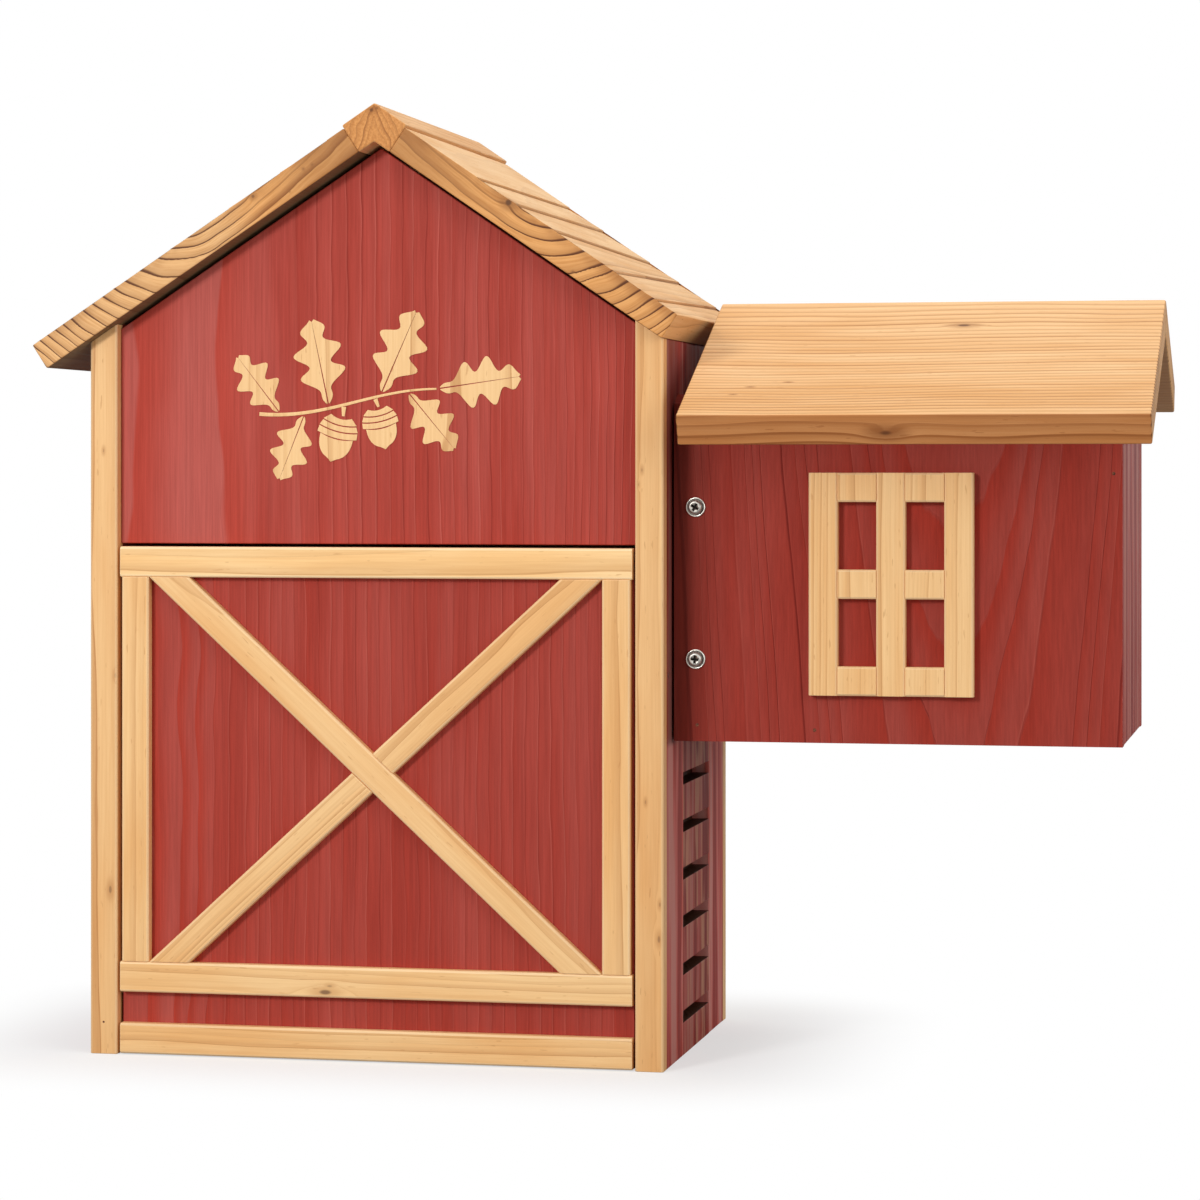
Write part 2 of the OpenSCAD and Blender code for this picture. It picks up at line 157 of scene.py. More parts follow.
class EdgeSettings(PropertyGroup):
    """How far the sawn edges are eased."""

    stained: a_length("Stained boards", "Radius of the edges of stained boards", 0.8, 0.1, 3)
    trim: a_length("Trims", "Radius of the edges of posts and trims, over their chamfer", 0.45, 0.1, 2)
    ladder: a_length("Ladder", "Radius of the ladder board's edges", 0.4, 0.1, 2)
    cap: a_length("Ridge cap", "Radius of the ridge cap's edges", 0.9, 0.1, 3)
    rows: IntProperty(name="Rows", description="Rows of faces in a rounded edge", default=3, min=1, max=6)


class SprigSettings(PropertyGroup):
    """The oak sprig that is let into the gable."""

    middle: a_place("Middle", "Middle of the sprig on the gable", -0.011, 0.0, 0.368)
    leaf: a_length("Leaf", "Length of the largest leaf", 52, 10, 80)
    depth: a_length("Depth", "How far the sprig stands out of the panel", 0.35, 0.1, 2)
    slit: a_length("Slit", "Width of the slits that draw veins and scales", 0.7, 0.2, 2)


class StudioSettings(PropertyGroup):
    """The camera, lamps and floor."""

    camera_place: a_place("Camera", "Place of the camera", 0.5358, -2.0628, 0.3287)
    camera_turn: an_angle("Turn", "How far the camera looks to the left of straight ahead", 11.7)
    lens: a_number("Lens", "Focal length in millimetres", 109.42, 10)
    shift: a_number("Shift", "Vertical shift of the lens, as a share of the picture's width", -0.1065, -1, 1)
    aim: a_place("Aim", "Place that the lamps look at", 0.1, 0.0, 0.26)
    key_lamp: a_number("Key lamp", "Power of the soft lamp in front, on the left", 25.8)
    fill_lamp: a_number("Fill lamp", "Power of the weak lamp on the right", 9.0)
    top_lamp: a_number("Top lamp", "Power of the soft lamp overhead", 15.0)
    sky: a_number("Sky", "Strength of the even light from all round", 0.55)
    floor: a_colour("Floor", "Colour of the floor", 0.4, 0.4, 0.4)
    floor_glow: a_number("Floor glow", "Light that the camera sees in the floor besides the lamps'", 0.55)


class SquirrelHouseSettings(PropertyGroup):
    """All the sizes and colours that a user would change."""

    stain: PointerProperty(type=StainSettings)
    pine: PointerProperty(type=PineSettings)
    roof: PointerProperty(type=RoofSettings)
    edges: PointerProperty(type=EdgeSettings)
    sprig: PointerProperty(type=SprigSettings)
    studio: PointerProperty(type=StudioSettings)


def settings():
    """The house's settings in this scene."""
    return bpy.context.scene.squirrel_house


class Wire:
    """What one output of a node gives. A sum on it adds a node to its graph."""

    def __init__(self, graph, socket):
        self.graph, self.socket = graph, socket

    def __add__(self, other):
        return self.graph.math("ADD", self, other)

    def __sub__(self, other):
        return self.graph.math("SUBTRACT", self, other)

    def __rsub__(self, other):
        return self.graph.math("SUBTRACT", other, self)

    def __mul__(self, other):
        return self.graph.math("MULTIPLY", self, other)

    def __truediv__(self, other):
        return self.graph.math("DIVIDE", self, other)


class Graph:
    """Adds nodes to a tree. Each input is a number, a tuple or a wire."""

    def __init__(self, tree):
        self.tree = tree

    def feed(self, socket, value):
        """Links a wire to a socket, or sets the socket's own value."""
        if isinstance(value, Wire):
            self.tree.links.new(value.socket, socket)
        else:
            socket.default_value = value

    def add(self, kind, feeds=None, **options):
        """A new node with its options set and its inputs fed, by name or by number."""
        node = self.tree.nodes.new(kind)
        for option, value in options.items():
            setattr(node, option, value)
        for socket, value in (feeds or {}).items():
            self.feed(node.inputs[socket], value)
        return node

    def make(self, kind, feeds=None, output=0, **options):
        """A wire from one output of a new node."""
        return Wire(self, self.add(kind, feeds, **options).outputs[output])

    def wires(self, kind, feeds=None, **options):
        """The wires from all outputs of a new node, by name."""
        return {socket.name: Wire(self, socket) for socket in self.add(kind, feeds, **options).outputs}

    def math(self, operation, *values, clamp=False):
        """One sum on numbers."""
        return self.make("ShaderNodeMath", dict(enumerate(values)), operation=operation, use_clamp=clamp)

    def vector(self, operation, *values):
        """One sum on vectors. Their length is a number."""
        output = "Value" if operation == "LENGTH" else "Vector"
        return self.make("ShaderNodeVectorMath", dict(enumerate(values)), output, operation=operation)

    def parts(self, vector):
        """The X, Y and Z of a vector."""
        return self.wires("ShaderNodeSeparateXYZ", {0: vector})

    def smooth(self, value, low, high, start=0.0, end=1.0):
        """A smooth step from start at low to end at high."""
        return self.make("ShaderNodeMapRange", {"Value": value, "From Min": low, "From Max": high,
                                                "To Min": start, "To Max": end},
                         "Result", interpolation_type="SMOOTHSTEP")

    def noise(self, vector, scales, detail=2.0, roughness=0.5):
        """Soft noise, about 0.5, with a scale for each direction."""
        place = self.vector("MULTIPLY", vector, scales)
        return self.make("ShaderNodeTexNoise", {"Vector": place, "Scale": 1.0, "Detail": detail,
                                                "Roughness": roughness}, "Fac", noise_dimensions="3D")

    def mix(self, factor, first, second, blend="MIX"):
        """Two colours mixed."""
        node = self.add("ShaderNodeMix", {"Factor": factor}, data_type="RGBA", blend_type=blend,
                        clamp_factor=True)
        for socket, value in ((node.inputs[6], first), (node.inputs[7], second)):
            self.feed(socket, value if isinstance(value, Wire) else (*value, 1.0))
        return Wire(self, node.outputs[2])

    def multiplied(self, colour, *factors):
        """A colour whose red, green and blue are multiplied."""
        other = self.make("ShaderNodeCombineColor", dict(enumerate(factors)))
        return self.mix(1.0, colour, other, "MULTIPLY")

    def attribute(self, name, output="Fac"):
        """A named attribute of the mesh."""
        return self.make("ShaderNodeAttribute", None, output, attribute_name=name,
                         attribute_type="GEOMETRY")

    def here(self):
        """The point's place on its object."""
        return self.make("ShaderNodeTexCoord", None, "Object")

    def grain(self):
        """The place in the log that a made board carries at each point."""
        return self.attribute("grain", "Vector")

    def turned_grain(self, turn, heart):
        """The place in the log of a plain solid, from how the log is turned and moved."""
        return self.make("ShaderNodeMapping", {"Vector": self.here(), "Location": heart, "Rotation": turn,
                                               "Scale": (1 / MM, 1 / MM, 1 / MM)}, vector_type="POINT")


def node_group(name, kind, inputs, outputs, fill):
    """The node group of that name, made the first time that it is asked for. inputs and outputs are names
    and kinds of sockets, and fill(graph, source) gives what feeds the outputs."""
    if name in bpy.data.node_groups:
        return bpy.data.node_groups[name]
    tree = bpy.data.node_groups.new(name, kind)
    for way, sockets in (("INPUT", inputs), ("OUTPUT", outputs)):
        for socket, socket_kind in sockets.items():
            tree.interface.new_socket(socket, in_out=way, socket_type="NodeSocket" + socket_kind)
    graph = Graph(tree)
    source = graph.wires("NodeGroupInput")
    graph.add("NodeGroupOutput", fill(graph, source)).is_active_output = True
    return tree


def fill_figure(graph, source):
    """Rings, fibres and blotches at a place in the log. Grain is in millimetres: along the log, then two
    ways across it. Phase counts the growth rings, and Width is a ring's dark line as a share of it."""
    grain, phase, width = source["Grain"], source["Phase"], source["Width"]
    part = graph.math("FRACT", phase)
    left = 1.0 - part
    return {
        "Line": graph.smooth(left, 0.0, width * 0.15) * graph.smooth(left, width * 0.45, width, 1.0, 0.0),
        "Ridge": graph.smooth(part, 0.0, width * 0.8, 1.0, 0.0),
        "Swell": graph.smooth(part, 0.2, 0.95) * graph.smooth(part, 0.95, 1.0, 1.0, 0.0),
        "Tone": graph.make("ShaderNodeTexWhiteNoise", {"W": graph.math("FLOOR", phase)}, "Value",
                           noise_dimensions="1D"),
        "Fibre": graph.noise(grain, (0.018, 0.8, 0.8), 4.0, 0.68),
        "Blotch": graph.noise(grain, (0.007, 0.045, 0.045), 3.0),
        "Patch": graph.noise(grain, (0.004, 0.055, 0.055), 2.0, 0.4),
        "Fleck": graph.smooth(graph.noise(grain, (0.11, 0.75, 0.75), 1.0), 0.70, 0.76),
    }


def heart_distance(graph, grain):
    """How far a place in the log is from its heart."""
    return graph.vector("LENGTH", graph.vector("MULTIPLY", grain, (0.0, 1.0, 1.0)))


def fill_rings(graph, source):
    """Counts growth rings outwards from the heart of a log."""
    grain = source["Grain"]
    slow = graph.noise(grain, (0.0028, 0.012, 0.012)) - 0.5
    quick = graph.noise(grain, (0.012, 0.12, 0.12)) - 0.5
    place = heart_distance(graph, grain) + (slow + quick * 0.14) * source["Wander"]
    uneven = graph.math("SINE", place * 0.31)
    return {"Phase": place / source["Ring width"] + uneven * 0.45}


def read_figure(graph, grain, phase, width):
    """The figure of the wood at a place in the log, with its lines as wide as a share of a ring."""
    names = ("Line", "Ridge", "Swell", "Tone", "Fibre", "Blotch", "Patch", "Fleck")
    tree = node_group("Wood figure", "ShaderNodeTree",
                      {"Grain": "Vector", "Phase": "Float", "Width": "Float"},
                      dict.fromkeys(names, "Float"), fill_figure)
    return graph.wires("ShaderNodeGroup", {"Grain": grain, "Phase": phase, "Width": width}, node_tree=tree)


def counted_rings(graph, grain, finish):
    """Rings counted from the heart of the log."""
    tree = node_group("Growth rings", "ShaderNodeTree",
                      {"Grain": "Vector", "Ring width": "Float", "Wander": "Float"},
                      {"Phase": "Float"}, fill_rings)
    return graph.make("ShaderNodeGroup", {"Grain": grain, "Ring width": finish.ring, "Wander": finish.wander},
                      "Phase", node_tree=tree)


def steepness(graph, grain):
    """How squarely the face cuts through the rings: 1 straight across them and 0 along them."""
    return graph.math("ABSOLUTE", graph.parts(grain)["Y"]) / heart_distance(graph, grain)


# How wide a board's laid rings are spread, in millimetres
SPREAD = 300


def laid_rings(graph, grain, borders):
    """Rings that meet a board's face at given places, how squarely it cuts through them, and how far to the
    right a point is, as a share of SPREAD. borders are such shares and the number of rings up to each."""
    stray = graph.noise(grain, (0.007, 0.014, 0.0)) - 0.5
    quick = graph.noise(grain, (0.03, 0.1, 0.0)) - 0.5
    share = 0.5 - graph.parts(grain)["Y"] / SPREAD
    first = next(place for place, count in borders if count >= 2)
    steep = graph.smooth(share, first + 0.01, first + 0.12)
    sway = stray * (steep * -0.10 + 0.13) + quick * 0.006
    counter = graph.add("ShaderNodeFloatCurve", {"Value": share + sway})
    points = counter.mapping.curves[0].points
    most = borders[-1][1]
    for number, (place, count) in enumerate(borders):
        point = points[number] if number < 2 else points.new(1, 1)
        point.location = (place, count / most)
        point.handle_type = "VECTOR"
    counter.mapping.update()
    return Wire(graph, counter.outputs[0]) * -most, steep, share


def knot_marks(graph, grain, knots):
    """How far a point is from each knot, in the knot's sizes, and that size. knots are places in the log
    and sizes, in millimetres."""
    marks = []
    for place, size in knots:
        off = graph.vector("SUBTRACT", grain, place)
        shrunk = graph.vector("MULTIPLY", off, (0.4 / size, 1 / size, 1 / size))
        marks.append((graph.vector("LENGTH", shrunk), size))
    return marks


def knot_push(graph, marks):
    """How far the knots drive the rings round them out, in millimetres."""
    push = 0.0
    for away, size in marks:
        push = graph.smooth(away, 0.0, 6.0, 2.2 * size, 0.0) + push
    return push


def knotted(graph, colour, marks, halo_colour, halo_share, core_share):
    """A colour with knots in it, each in a darker halo."""
    core, halo = 0.0, 0.0
    for away, size in marks:
        core = graph.math("MAXIMUM", core, graph.smooth(away, 0.45, 1.1, min(1.0, 0.1 + 0.5 * size), 0.0))
        halo = graph.math("MAXIMUM", halo, graph.smooth(away, 0.8, 3.6, 1.0, 0.0))
    haloed = graph.mix(halo * halo_share, colour, halo_colour)
    return graph.mix(core * core_share, haloed, settings().roof.knot)


def toned(graph, colour, green_power, blue_power):
    """A colour darkened by the piece's own tone, where 1 leaves it. Green and blue fall faster."""
    # tone also carries painted light and shade: lighter boards on the right wall, darker eave faces on the
    # porch roof
    tone = graph.attribute("tone")
    factors = [graph.math("POWER", tone, power) for power in (1.0, green_power, blue_power)]
    return graph.multiplied(colour, *factors)


def new_material(name):
    """A new material and its empty graph."""
    material = bpy.data.materials.new(name)
    material.use_nodes = True
    material.node_tree.nodes.clear()
    return material, Graph(material.node_tree)


def finish_material(graph, colour, roughness, relief=None, specular=0.5, metallic=0.0):
    """Gives a material its shader. relief is a height, how strongly it shows and its depth."""
    feeds = {"Base Color": colour, "Roughness": roughness, "Specular IOR Level": specular,
             "Metallic": metallic}
    if relief:
        height, strength, depth = relief
        feeds["Normal"] = graph.make("ShaderNodeBump", {"Height": height, "Strength": strength,
                                                        "Distance": depth})
    graph.add("ShaderNodeOutputMaterial", {"Surface": graph.make("ShaderNodeBsdfPrincipled", feeds)})


def fibre_roughness(graph, figure, rough, smooth):
    """Roughness that follows the fibres."""
    return graph.smooth(figure["Fibre"], 0.2, 0.8, rough, smooth)


def stain_colour(graph, figure, steep, dust, pool):
    """Red stain. It pools along the rings, lies thin on their raised edges, where a paler painted highlight
    also runs, and is dustier in the broad bands that show where the face runs along the rings."""
    finish = settings().stain
    flat = graph.smooth(steep, 0.2, 0.75, 1.0, 0.0)
    ringed = (figure["Tone"] - 0.5) * (flat * 0.5 + 0.3)
    cloudy = graph.smooth(figure["Blotch"], 0.3, 0.7, 0.2, 0.8)
    body = graph.mix(graph.math("ADD", cloudy, ringed, clamp=True), finish.deep, finish.light)
    dusty = flat * dust + graph.smooth(figure["Patch"], 0.45, 0.75, 0.0, 0.4)
    body = graph.mix(dusty, body, finish.dusty)
    body = graph.mix(figure["Swell"] * (flat * 0.55 + 0.2), body, finish.late)
    gathered = figure["Line"] * graph.smooth(figure["Tone"], 0.1, 0.9, 0.12, pool)
    # painted highlight, with thin stain, along the rings' raised edges
    rubbed = figure["Ridge"] * graph.smooth(figure["Tone"], 0.1, 0.9, 0.08, 0.38)
    body = graph.mix(rubbed, graph.mix(gathered, body, finish.line), finish.glint)
    shade = graph.smooth(figure["Fibre"], 0.25, 0.75, 0.86, 1.10)
    return graph.multiplied(body, shade, shade, shade)


def bare_colour(graph, figure, finish, faint, strong, mottle=0.7, line=None):
    """Bare wood with soft bands and darker late-summer lines. faint and strong are how dark its weakest and
    strongest lines are, mottle how strong its bands, and line the lines' colour beside the finish's own."""
    line = line or finish.line
    band = figure["Tone"] * (0.43 * mottle) + graph.smooth(figure["Blotch"], 0.35, 0.7) * mottle
    body = graph.mix(band, finish.pale, finish.warm)
    strength = graph.smooth(figure["Tone"], 0.2, 1.0, faint, strong)
    lined = graph.math("MAXIMUM", figure["Swell"] * (strength * 0.6), figure["Line"] * strength)
    flecked = graph.mix(figure["Fleck"] * 0.45, graph.mix(lined, body, line), line)
    fine = graph.smooth(figure["Fibre"], 0.25, 0.75)
    return graph.multiplied(flecked, *(fine * span + (1 - 0.55 * span) for span in (0.09, 0.15, 0.22)))


def painted_corner_shade(graph):
    """How much painted shade darkens the stain by the upright corner between the house and its porch."""
    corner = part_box("porch_front_wall")[0]
    where = graph.here()
    off = graph.vector("MULTIPLY", graph.vector("SUBTRACT", where, corner), (1.0, 1.0, 0.0))
    near = graph.smooth(graph.vector("LENGTH", off), 2 * MM, 34 * MM, 1.0, 0.0)
    return near * graph.smooth(graph.parts(where)["Z"], corner.z - 4 * MM, corner.z, 0.0, 0.6)


def stained_wood(name, borders=None, dust=0.35, fade=0.0, pool=0.7, bleached=False, rubbed=False):
    """Red-stained board. borders are where its rings lie, or None for rings round the heart of its log.
    dust is how pale its bands are, fade how much deeper its right side is, and pool how dark the stain
    gathers along its rings. A bleached board has grey and dark streaks, and climbing has rubbed a rubbed
    one back to wood in places."""
    finish = settings().stain
    material, graph = new_material(name)
    grain = graph.grain()
    if borders:
        phase, steep, share = laid_rings(graph, grain, borders)
    else:
        phase, steep = counted_rings(graph, grain, finish) * -1.0, steepness(graph, grain)
    figure = read_figure(graph, grain, phase, steep * 0.15 + 0.012)
    colour = stain_colour(graph, figure, steep, dust, pool)
    # painted shade: the board darkens towards its right side
    if fade:
        colour = graph.mix(graph.smooth(share, 0.3, 1.0, 0.0, fade), colour, finish.line)
    if bleached:
        streak = graph.noise(grain, (0.004, 0.075, 0.075), 2.0, 0.45)
        colour = graph.mix(graph.smooth(streak, 0.45, 0.6, 0.0, 0.8), colour, finish.bleached)
        colour = graph.mix(graph.smooth(streak, 0.5, 0.38, 0.0, 0.75), colour, finish.line)
    if rubbed:
        streak = graph.noise(grain, (0.011, 0.13, 0.13), 3.0, 0.55)
        wood = graph.mix(0.72, bare_colour(graph, figure, settings().pine, 0.3, 0.8), finish.bleached)
        colour = graph.mix(graph.smooth(streak, 0.49, 0.61) * 0.75, colour, wood)
        # painted shade inside the ladder's grooves, over their bare wood
        colour = graph.mix(graph.attribute("cut"), colour, finish.groove_shade)
    # painted shade in the upright corner beside the porch
    colour = graph.mix(painted_corner_shade(graph), toned(graph, colour, 1.5, 1.7), finish.dirt)
    height = figure["Swell"] * 0.8 + figure["Fibre"] * 0.35
    finish_material(graph, colour, fibre_roughness(graph, figure, 0.6, 0.45), (height, 0.55, 0.35 * MM), 0.08)
    return material


def pine_wood(name, solid=None, knots=(), ring=1.0, lines=(0.05, 0.75), mottle=0.7):
    """Planed pine under a clear coat, with knots at places in its log. solid is, for a piece that keeps its
    plain solid, how its log is turned and moved. ring is its rings' width beside the setting, lines how
    dark its weakest and strongest lines are, and mottle how strong its bands are."""
    finish = settings().pine
    material, graph = new_material(name)
    grain = graph.turned_grain(*solid) if solid else graph.grain()
    marks = knot_marks(graph, grain, knots)
    phase = counted_rings(graph, grain, finish)
    if knots:
        phase = phase + knot_push(graph, marks) / finish.ring
    figure = read_figure(graph, grain, phase / ring, steepness(graph, grain) * 0.16 + 0.03)
    colour = bare_colour(graph, figure, finish, *lines, mottle)
    if knots:
        colour = knotted(graph, colour, marks, finish.line, 0.5, 0.85)
    if not solid:
        # painted highlight on the rounded edges, partly sanded wear
        colour = graph.mix(graph.attribute("rim") * 0.45, colour, finish.rim)
        colour = toned(graph, colour, 2.0, 3.0)
    height = figure["Swell"] * 0.5 + figure["Fibre"] * 0.4
    finish_material(graph, colour, fibre_roughness(graph, figure, 0.6, 0.48), (height, 0.3, 0.2 * MM), 0.35)
    return material


def roof_wood(name, faint, strong, weathered, width, under, soft, warmth, knots=()):
    """Weathered plank whose rings were counted when its mesh was made. faint and strong are how dark
    its weakest and strongest lines are, width how wide they are as a share of a ring, and soft how pale.
    weathered is how brown its sawn ends are along the top, under how light its underside is, and warmth
    how much deeper its sawn ends are on the upper and on the lower half of the slope."""
    finish = settings().roof
    material, graph = new_material(name)
    grain, growth, end = graph.grain(), graph.attribute("growth"), graph.attribute("end")
    parts = graph.parts(grain)
    down, height = parts["Y"], parts["Z"]
    wide = end * graph.smooth(height, 3.0, 15.0, -0.02, 0.10)
    figure = read_figure(graph, grain, growth, wide + width)
    line = tuple(dark + (pale - dark) * soft for dark, pale in zip(finish.warm_line, finish.warm))
    face = bare_colour(graph, figure, finish, faint, strong, line=line)
    follow = graph.make("ShaderNodeCombineXYZ", {0: growth, 1: parts["X"], 2: down})
    streak = graph.noise(follow, (6.5, 0.009, 0.05), 4.0, 0.6)
    face = graph.mix(graph.smooth(streak, 0.5, 0.8, 0.0, 0.55), face, finish.warm)
    # painted shade: under darkens the underside's colour, strongly for the main roof
    shaded = tuple(part * under for part in finish.under)
    face = graph.mix(graph.smooth(height, 0.2, 0.6, 0.8, 0.0), face, shaded)
    sawn = graph.mix(graph.smooth(streak, 0.35, 0.75, 0.0, 0.9), finish.end, finish.end_dark)
    top = graph.smooth(height, 8.0, 15.5) * graph.smooth(figure["Blotch"], 0.3, 0.6)
    sawn = graph.mix(top * weathered, sawn, finish.warm_line)
    lower = graph.smooth(down, 60.0, 90.0)
    upper_streaks = graph.smooth(figure["Tone"], 0.35, 0.8, 0.1, 0.95)
    streaks = lower * (0.42 - upper_streaks) + upper_streaks
    sawn = graph.mix(figure["Swell"] * streaks, sawn, finish.warm_line)
    sawn = graph.mix(figure["Line"] * (lower * 0.65 + 0.3), sawn, finish.line)
    sawn = graph.mix(graph.smooth(down, 60.0, 95.0, *warmth), sawn, finish.deepened, "MULTIPLY")
    sawn = graph.mix(graph.smooth(down, 10.0, 75.0, 0.5 * warmth[0], 0.0), sawn, finish.warm_line)
    colour = graph.mix(end, face, sawn)
    # painted shadow at the foot of each carved lap
    colour = graph.mix(graph.attribute("lap") * 0.7, colour, finish.warm_line)
    if knots:
        colour = knotted(graph, colour, knot_marks(graph, grain, knots), finish.warm_line, 0.55, 0.9)
    relief = (figure["Swell"] * 0.7 + streak * 0.8, 0.45, 0.35 * MM)
    finish_material(graph, toned(graph, colour, 2.0, 3.0), fibre_roughness(graph, figure, 0.7, 0.55),
                    relief, 0.25)
    return material


def cap_wood(name, knots):
    """The ridge cap's wood: its rings meet in a point below the ridge, with small knots at the top."""
    finish = settings().roof
    material, graph = new_material(name)
    grain = graph.grain()
    parts = graph.parts(grain)
    stray = graph.noise(grain, (0.012, 0.07, 0.07), 1.0)
    place = graph.math("ABSOLUTE", parts["Y"]) * 0.95 + parts["Z"] * 0.42 + stray * 9.0
    figure = read_figure(graph, grain, place / 3.4, 0.2)
    face = bare_colour(graph, figure, finish, 0.1, 0.5, line=finish.warm_line)
    sawn = graph.mix(graph.smooth(figure["Fibre"], 0.3, 0.7), finish.end, finish.end_dark)
    strength = graph.smooth(figure["Tone"], 0.3, 1.0, 0.1, 0.6)
    sawn = graph.mix(figure["Swell"] * strength, sawn, finish.warm_line)
    sawn = graph.mix(figure["Line"] * (strength * 0.4), sawn, finish.line)
    sawn = knotted(graph, sawn, knot_marks(graph, grain, knots), finish.warm_line, 0.45, 0.9)
    sawn = graph.mix(1.0, sawn, finish.deepened, "MULTIPLY")
    colour = toned(graph, graph.mix(graph.attribute("end"), face, sawn), 2.0, 3.0)
    relief = (figure["Swell"] + figure["Fibre"] * 0.5, 0.35, 0.3 * MM)
    finish_material(graph, colour, fibre_roughness(graph, figure, 0.7, 0.55), relief, 0.25)
    return material


def bright_steel(name, tone=1.0, roughness=0.34):
    """Zinc-plated steel of the screws and washers, with painted shade in their dips and under the heads."""
    material, graph = new_material(name)
    scuff = graph.noise(graph.here(), (900.0, 900.0, 900.0), 4.0, 0.6)
    dark, light = [(shade * tone, 0.96 * shade * tone, 0.87 * shade * tone) for shade in (0.72, 0.92)]
    colour = graph.mix(graph.smooth(scuff, 0.3, 0.7), dark, light)
    # painted shade under the screw heads, in their cross recesses and inside the washers' rims
    with_painted_shade = graph.mix(graph.attribute("dirt") * 0.75, colour, (0.075, 0.050, 0.036))
    shine = graph.smooth(scuff, 0.3, 0.7, roughness + 0.08, roughness - 0.08)
    finish_material(graph, with_painted_shade, shine, (scuff, 0.05, 0.05 * MM), metallic=1.0)
    return material


def dark_iron(name):
    """Dull iron of the nails, with specks of rust."""
    material, graph = new_material(name)
    speck = graph.noise(graph.here(), (1500.0, 1500.0, 1500.0), 3.0)
    colour = graph.mix(graph.smooth(speck, 0.4, 0.6), (0.05, 0.022, 0.014), (0.22, 0.065, 0.030))
    finish_material(graph, colour, 0.65, specular=0.2)
    return material


def material_for(name, make, **look):
    """The material of that name, made with that look the first time that it is asked for."""
    return bpy.data.materials.get(name) or make(name, **look)


# Points of a solid that are closer than this are one point
MERGE = 0.002 * MM


def whole_solid(node):
    """A node's solid as a bmesh with its loose triangles joined."""
    solid = bmesh.new()
    solid.from_mesh(frame["nodes"][node].data)
    bmesh.ops.remove_doubles(solid, verts=solid.verts, dist=MERGE)
    return solid


def clean_solid(node):
    """A node's solid as a bmesh with whole faces in place of triangles."""
    solid = whole_solid(node)
    bmesh.ops.dissolve_limit(solid, angle_limit=math.radians(1), verts=solid.verts, edges=solid.edges)
    return solid


def ease_edges(solid, radius, rows):
    """Rounds every edge of a solid that turns by more than a third of a right angle."""
    sharp = [edge for edge in solid.edges if len(edge.link_faces) == 2 and edge.calc_face_angle() > 0.5]
    bmesh.ops.bevel(solid, geom=sharp, offset=radius, offset_type="OFFSET", segments=rows, profile=0.5,
                    affect="EDGES", clamp_overlap=True)


# Faces narrower than this belong to a rounded edge
NARROW = 2.5 * MM


def is_rim(vert):
    """Whether a point lies inside a rounded edge, away from every broad face."""
    widths = [face.calc_area() / max(edge.calc_length() for edge in face.edges) for face in vert.link_faces]
    return max(widths) < NARROW


def box_of(points):
    """The lowest and the highest corner of the box round some points."""
    return [Vector(pick(point[i] for point in points) for i in range(3)) for pick in (min, max)]


def write_layer(mesh, name, values):
    """Stores a number or a vector for each point of a mesh."""
    if isinstance(values[0], (int, float)):
        mesh.attributes.new(name, "FLOAT", "POINT").data.foreach_set("value", values)
    else:
        flat = [part for vector in values for part in vector]
        mesh.attributes.new(name, "FLOAT_VECTOR", "POINT").data.foreach_set("vector", flat)


def write_marks(mesh, name, points, test):
    """Stores 1 for each of a mesh's points that a test holds for, and 0 for the others."""
    write_layer(mesh, name, [1.0 if test(point) else 0.0 for point in points])


def finish_mesh(name, solid, in_painted_shade=None):
    """A mesh from a bmesh, with smooth edges and flat faces: large faces decide a point's normal. A third
    argument, if given, tells of a point whether it lies in a dip, where shade is painted into its colour."""
    mesh = bpy.data.meshes.new(name)
    solid.normal_update()
    solid.to_mesh(mesh)
    write_marks(mesh, "rim", solid.verts, is_rim)
    # marks the points that get painted shade
    if in_painted_shade:
        write_marks(mesh, "dirt", [vert.co for vert in solid.verts], in_painted_shade)
    solid.verts.ensure_lookup_table()
    normals = []
    for vert in solid.verts:
        total = Vector((0, 0, 0))
        for face in vert.link_faces:
            total += face.normal * face.calc_area() ** 2 / MM ** 4
        normals.append(total.normalized() if total.length > 0 else vert.normal)
    solid.free()
    mesh.shade_smooth()
    mesh.normals_split_custom_set_from_vertices(normals)
    return mesh


def closed_mesh(name, shape, in_painted_shade=None):
    """A mesh from a closed bmesh, with its faces turned outwards."""
    bmesh.ops.recalc_face_normals(shape, faces=shape.faces)
    return finish_mesh(name, shape, in_painted_shade)


def in_log(place, along, face, heart, start, lean=0.0):
    """The place in its log, in millimetres, of a point that is measured from its board's middle. along is
    the way that the grain runs and face the way that the board looks. heart is how far the heart of the
    log lies from the board's middle, across it and behind its face, start is how far up the log it was
    cut, and lean is how much farther behind the face the heart lies for each millimetre along."""
    run = place.dot(along) / MM
    across = place.dot(face.cross(along)) / MM - heart[0]
    return Vector((run + start, across, place.dot(face) / MM + heart[1] + lean * run))


def new_object(name, data):
    """A new object in the scene."""
    item = bpy.data.objects.new(name, data)
    bpy.context.scene.collection.objects.link(item)
    return item


def add_piece(name, mesh, material, body, slot, replaced=()):
    """Puts a finished mesh in the scene and ties it to the frame."""
    piece = new_object(name, mesh)
    mesh.materials.clear()
    mesh.materials.append(material)
    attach(piece, body)
    if replaced:
        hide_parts(*replaced)
    return piece


def dressed_board(node, material, radius, along, face, heart, start, tone=1.0, lean=0.0):
    """A board with eased edges, real grain and a tone in place of a plain solid."""
    solid = clean_solid(node)
    ease_edges(solid, radius, settings().edges.rows)
    mesh = finish_mesh(node + "_board", solid)
    places = [vert.co for vert in mesh.vertices]
    low, high = box_of(places)
    middle = (low + high) / 2
    write_layer(mesh, "grain", [in_log(place - middle, along, face, heart, start, lean) for place in places])
    write_layer(mesh, "tone", [tone] * len(places))
    return add_piece(node + "_board", mesh, material, BODY_OF[node], SLOT_OF[node], (node,))


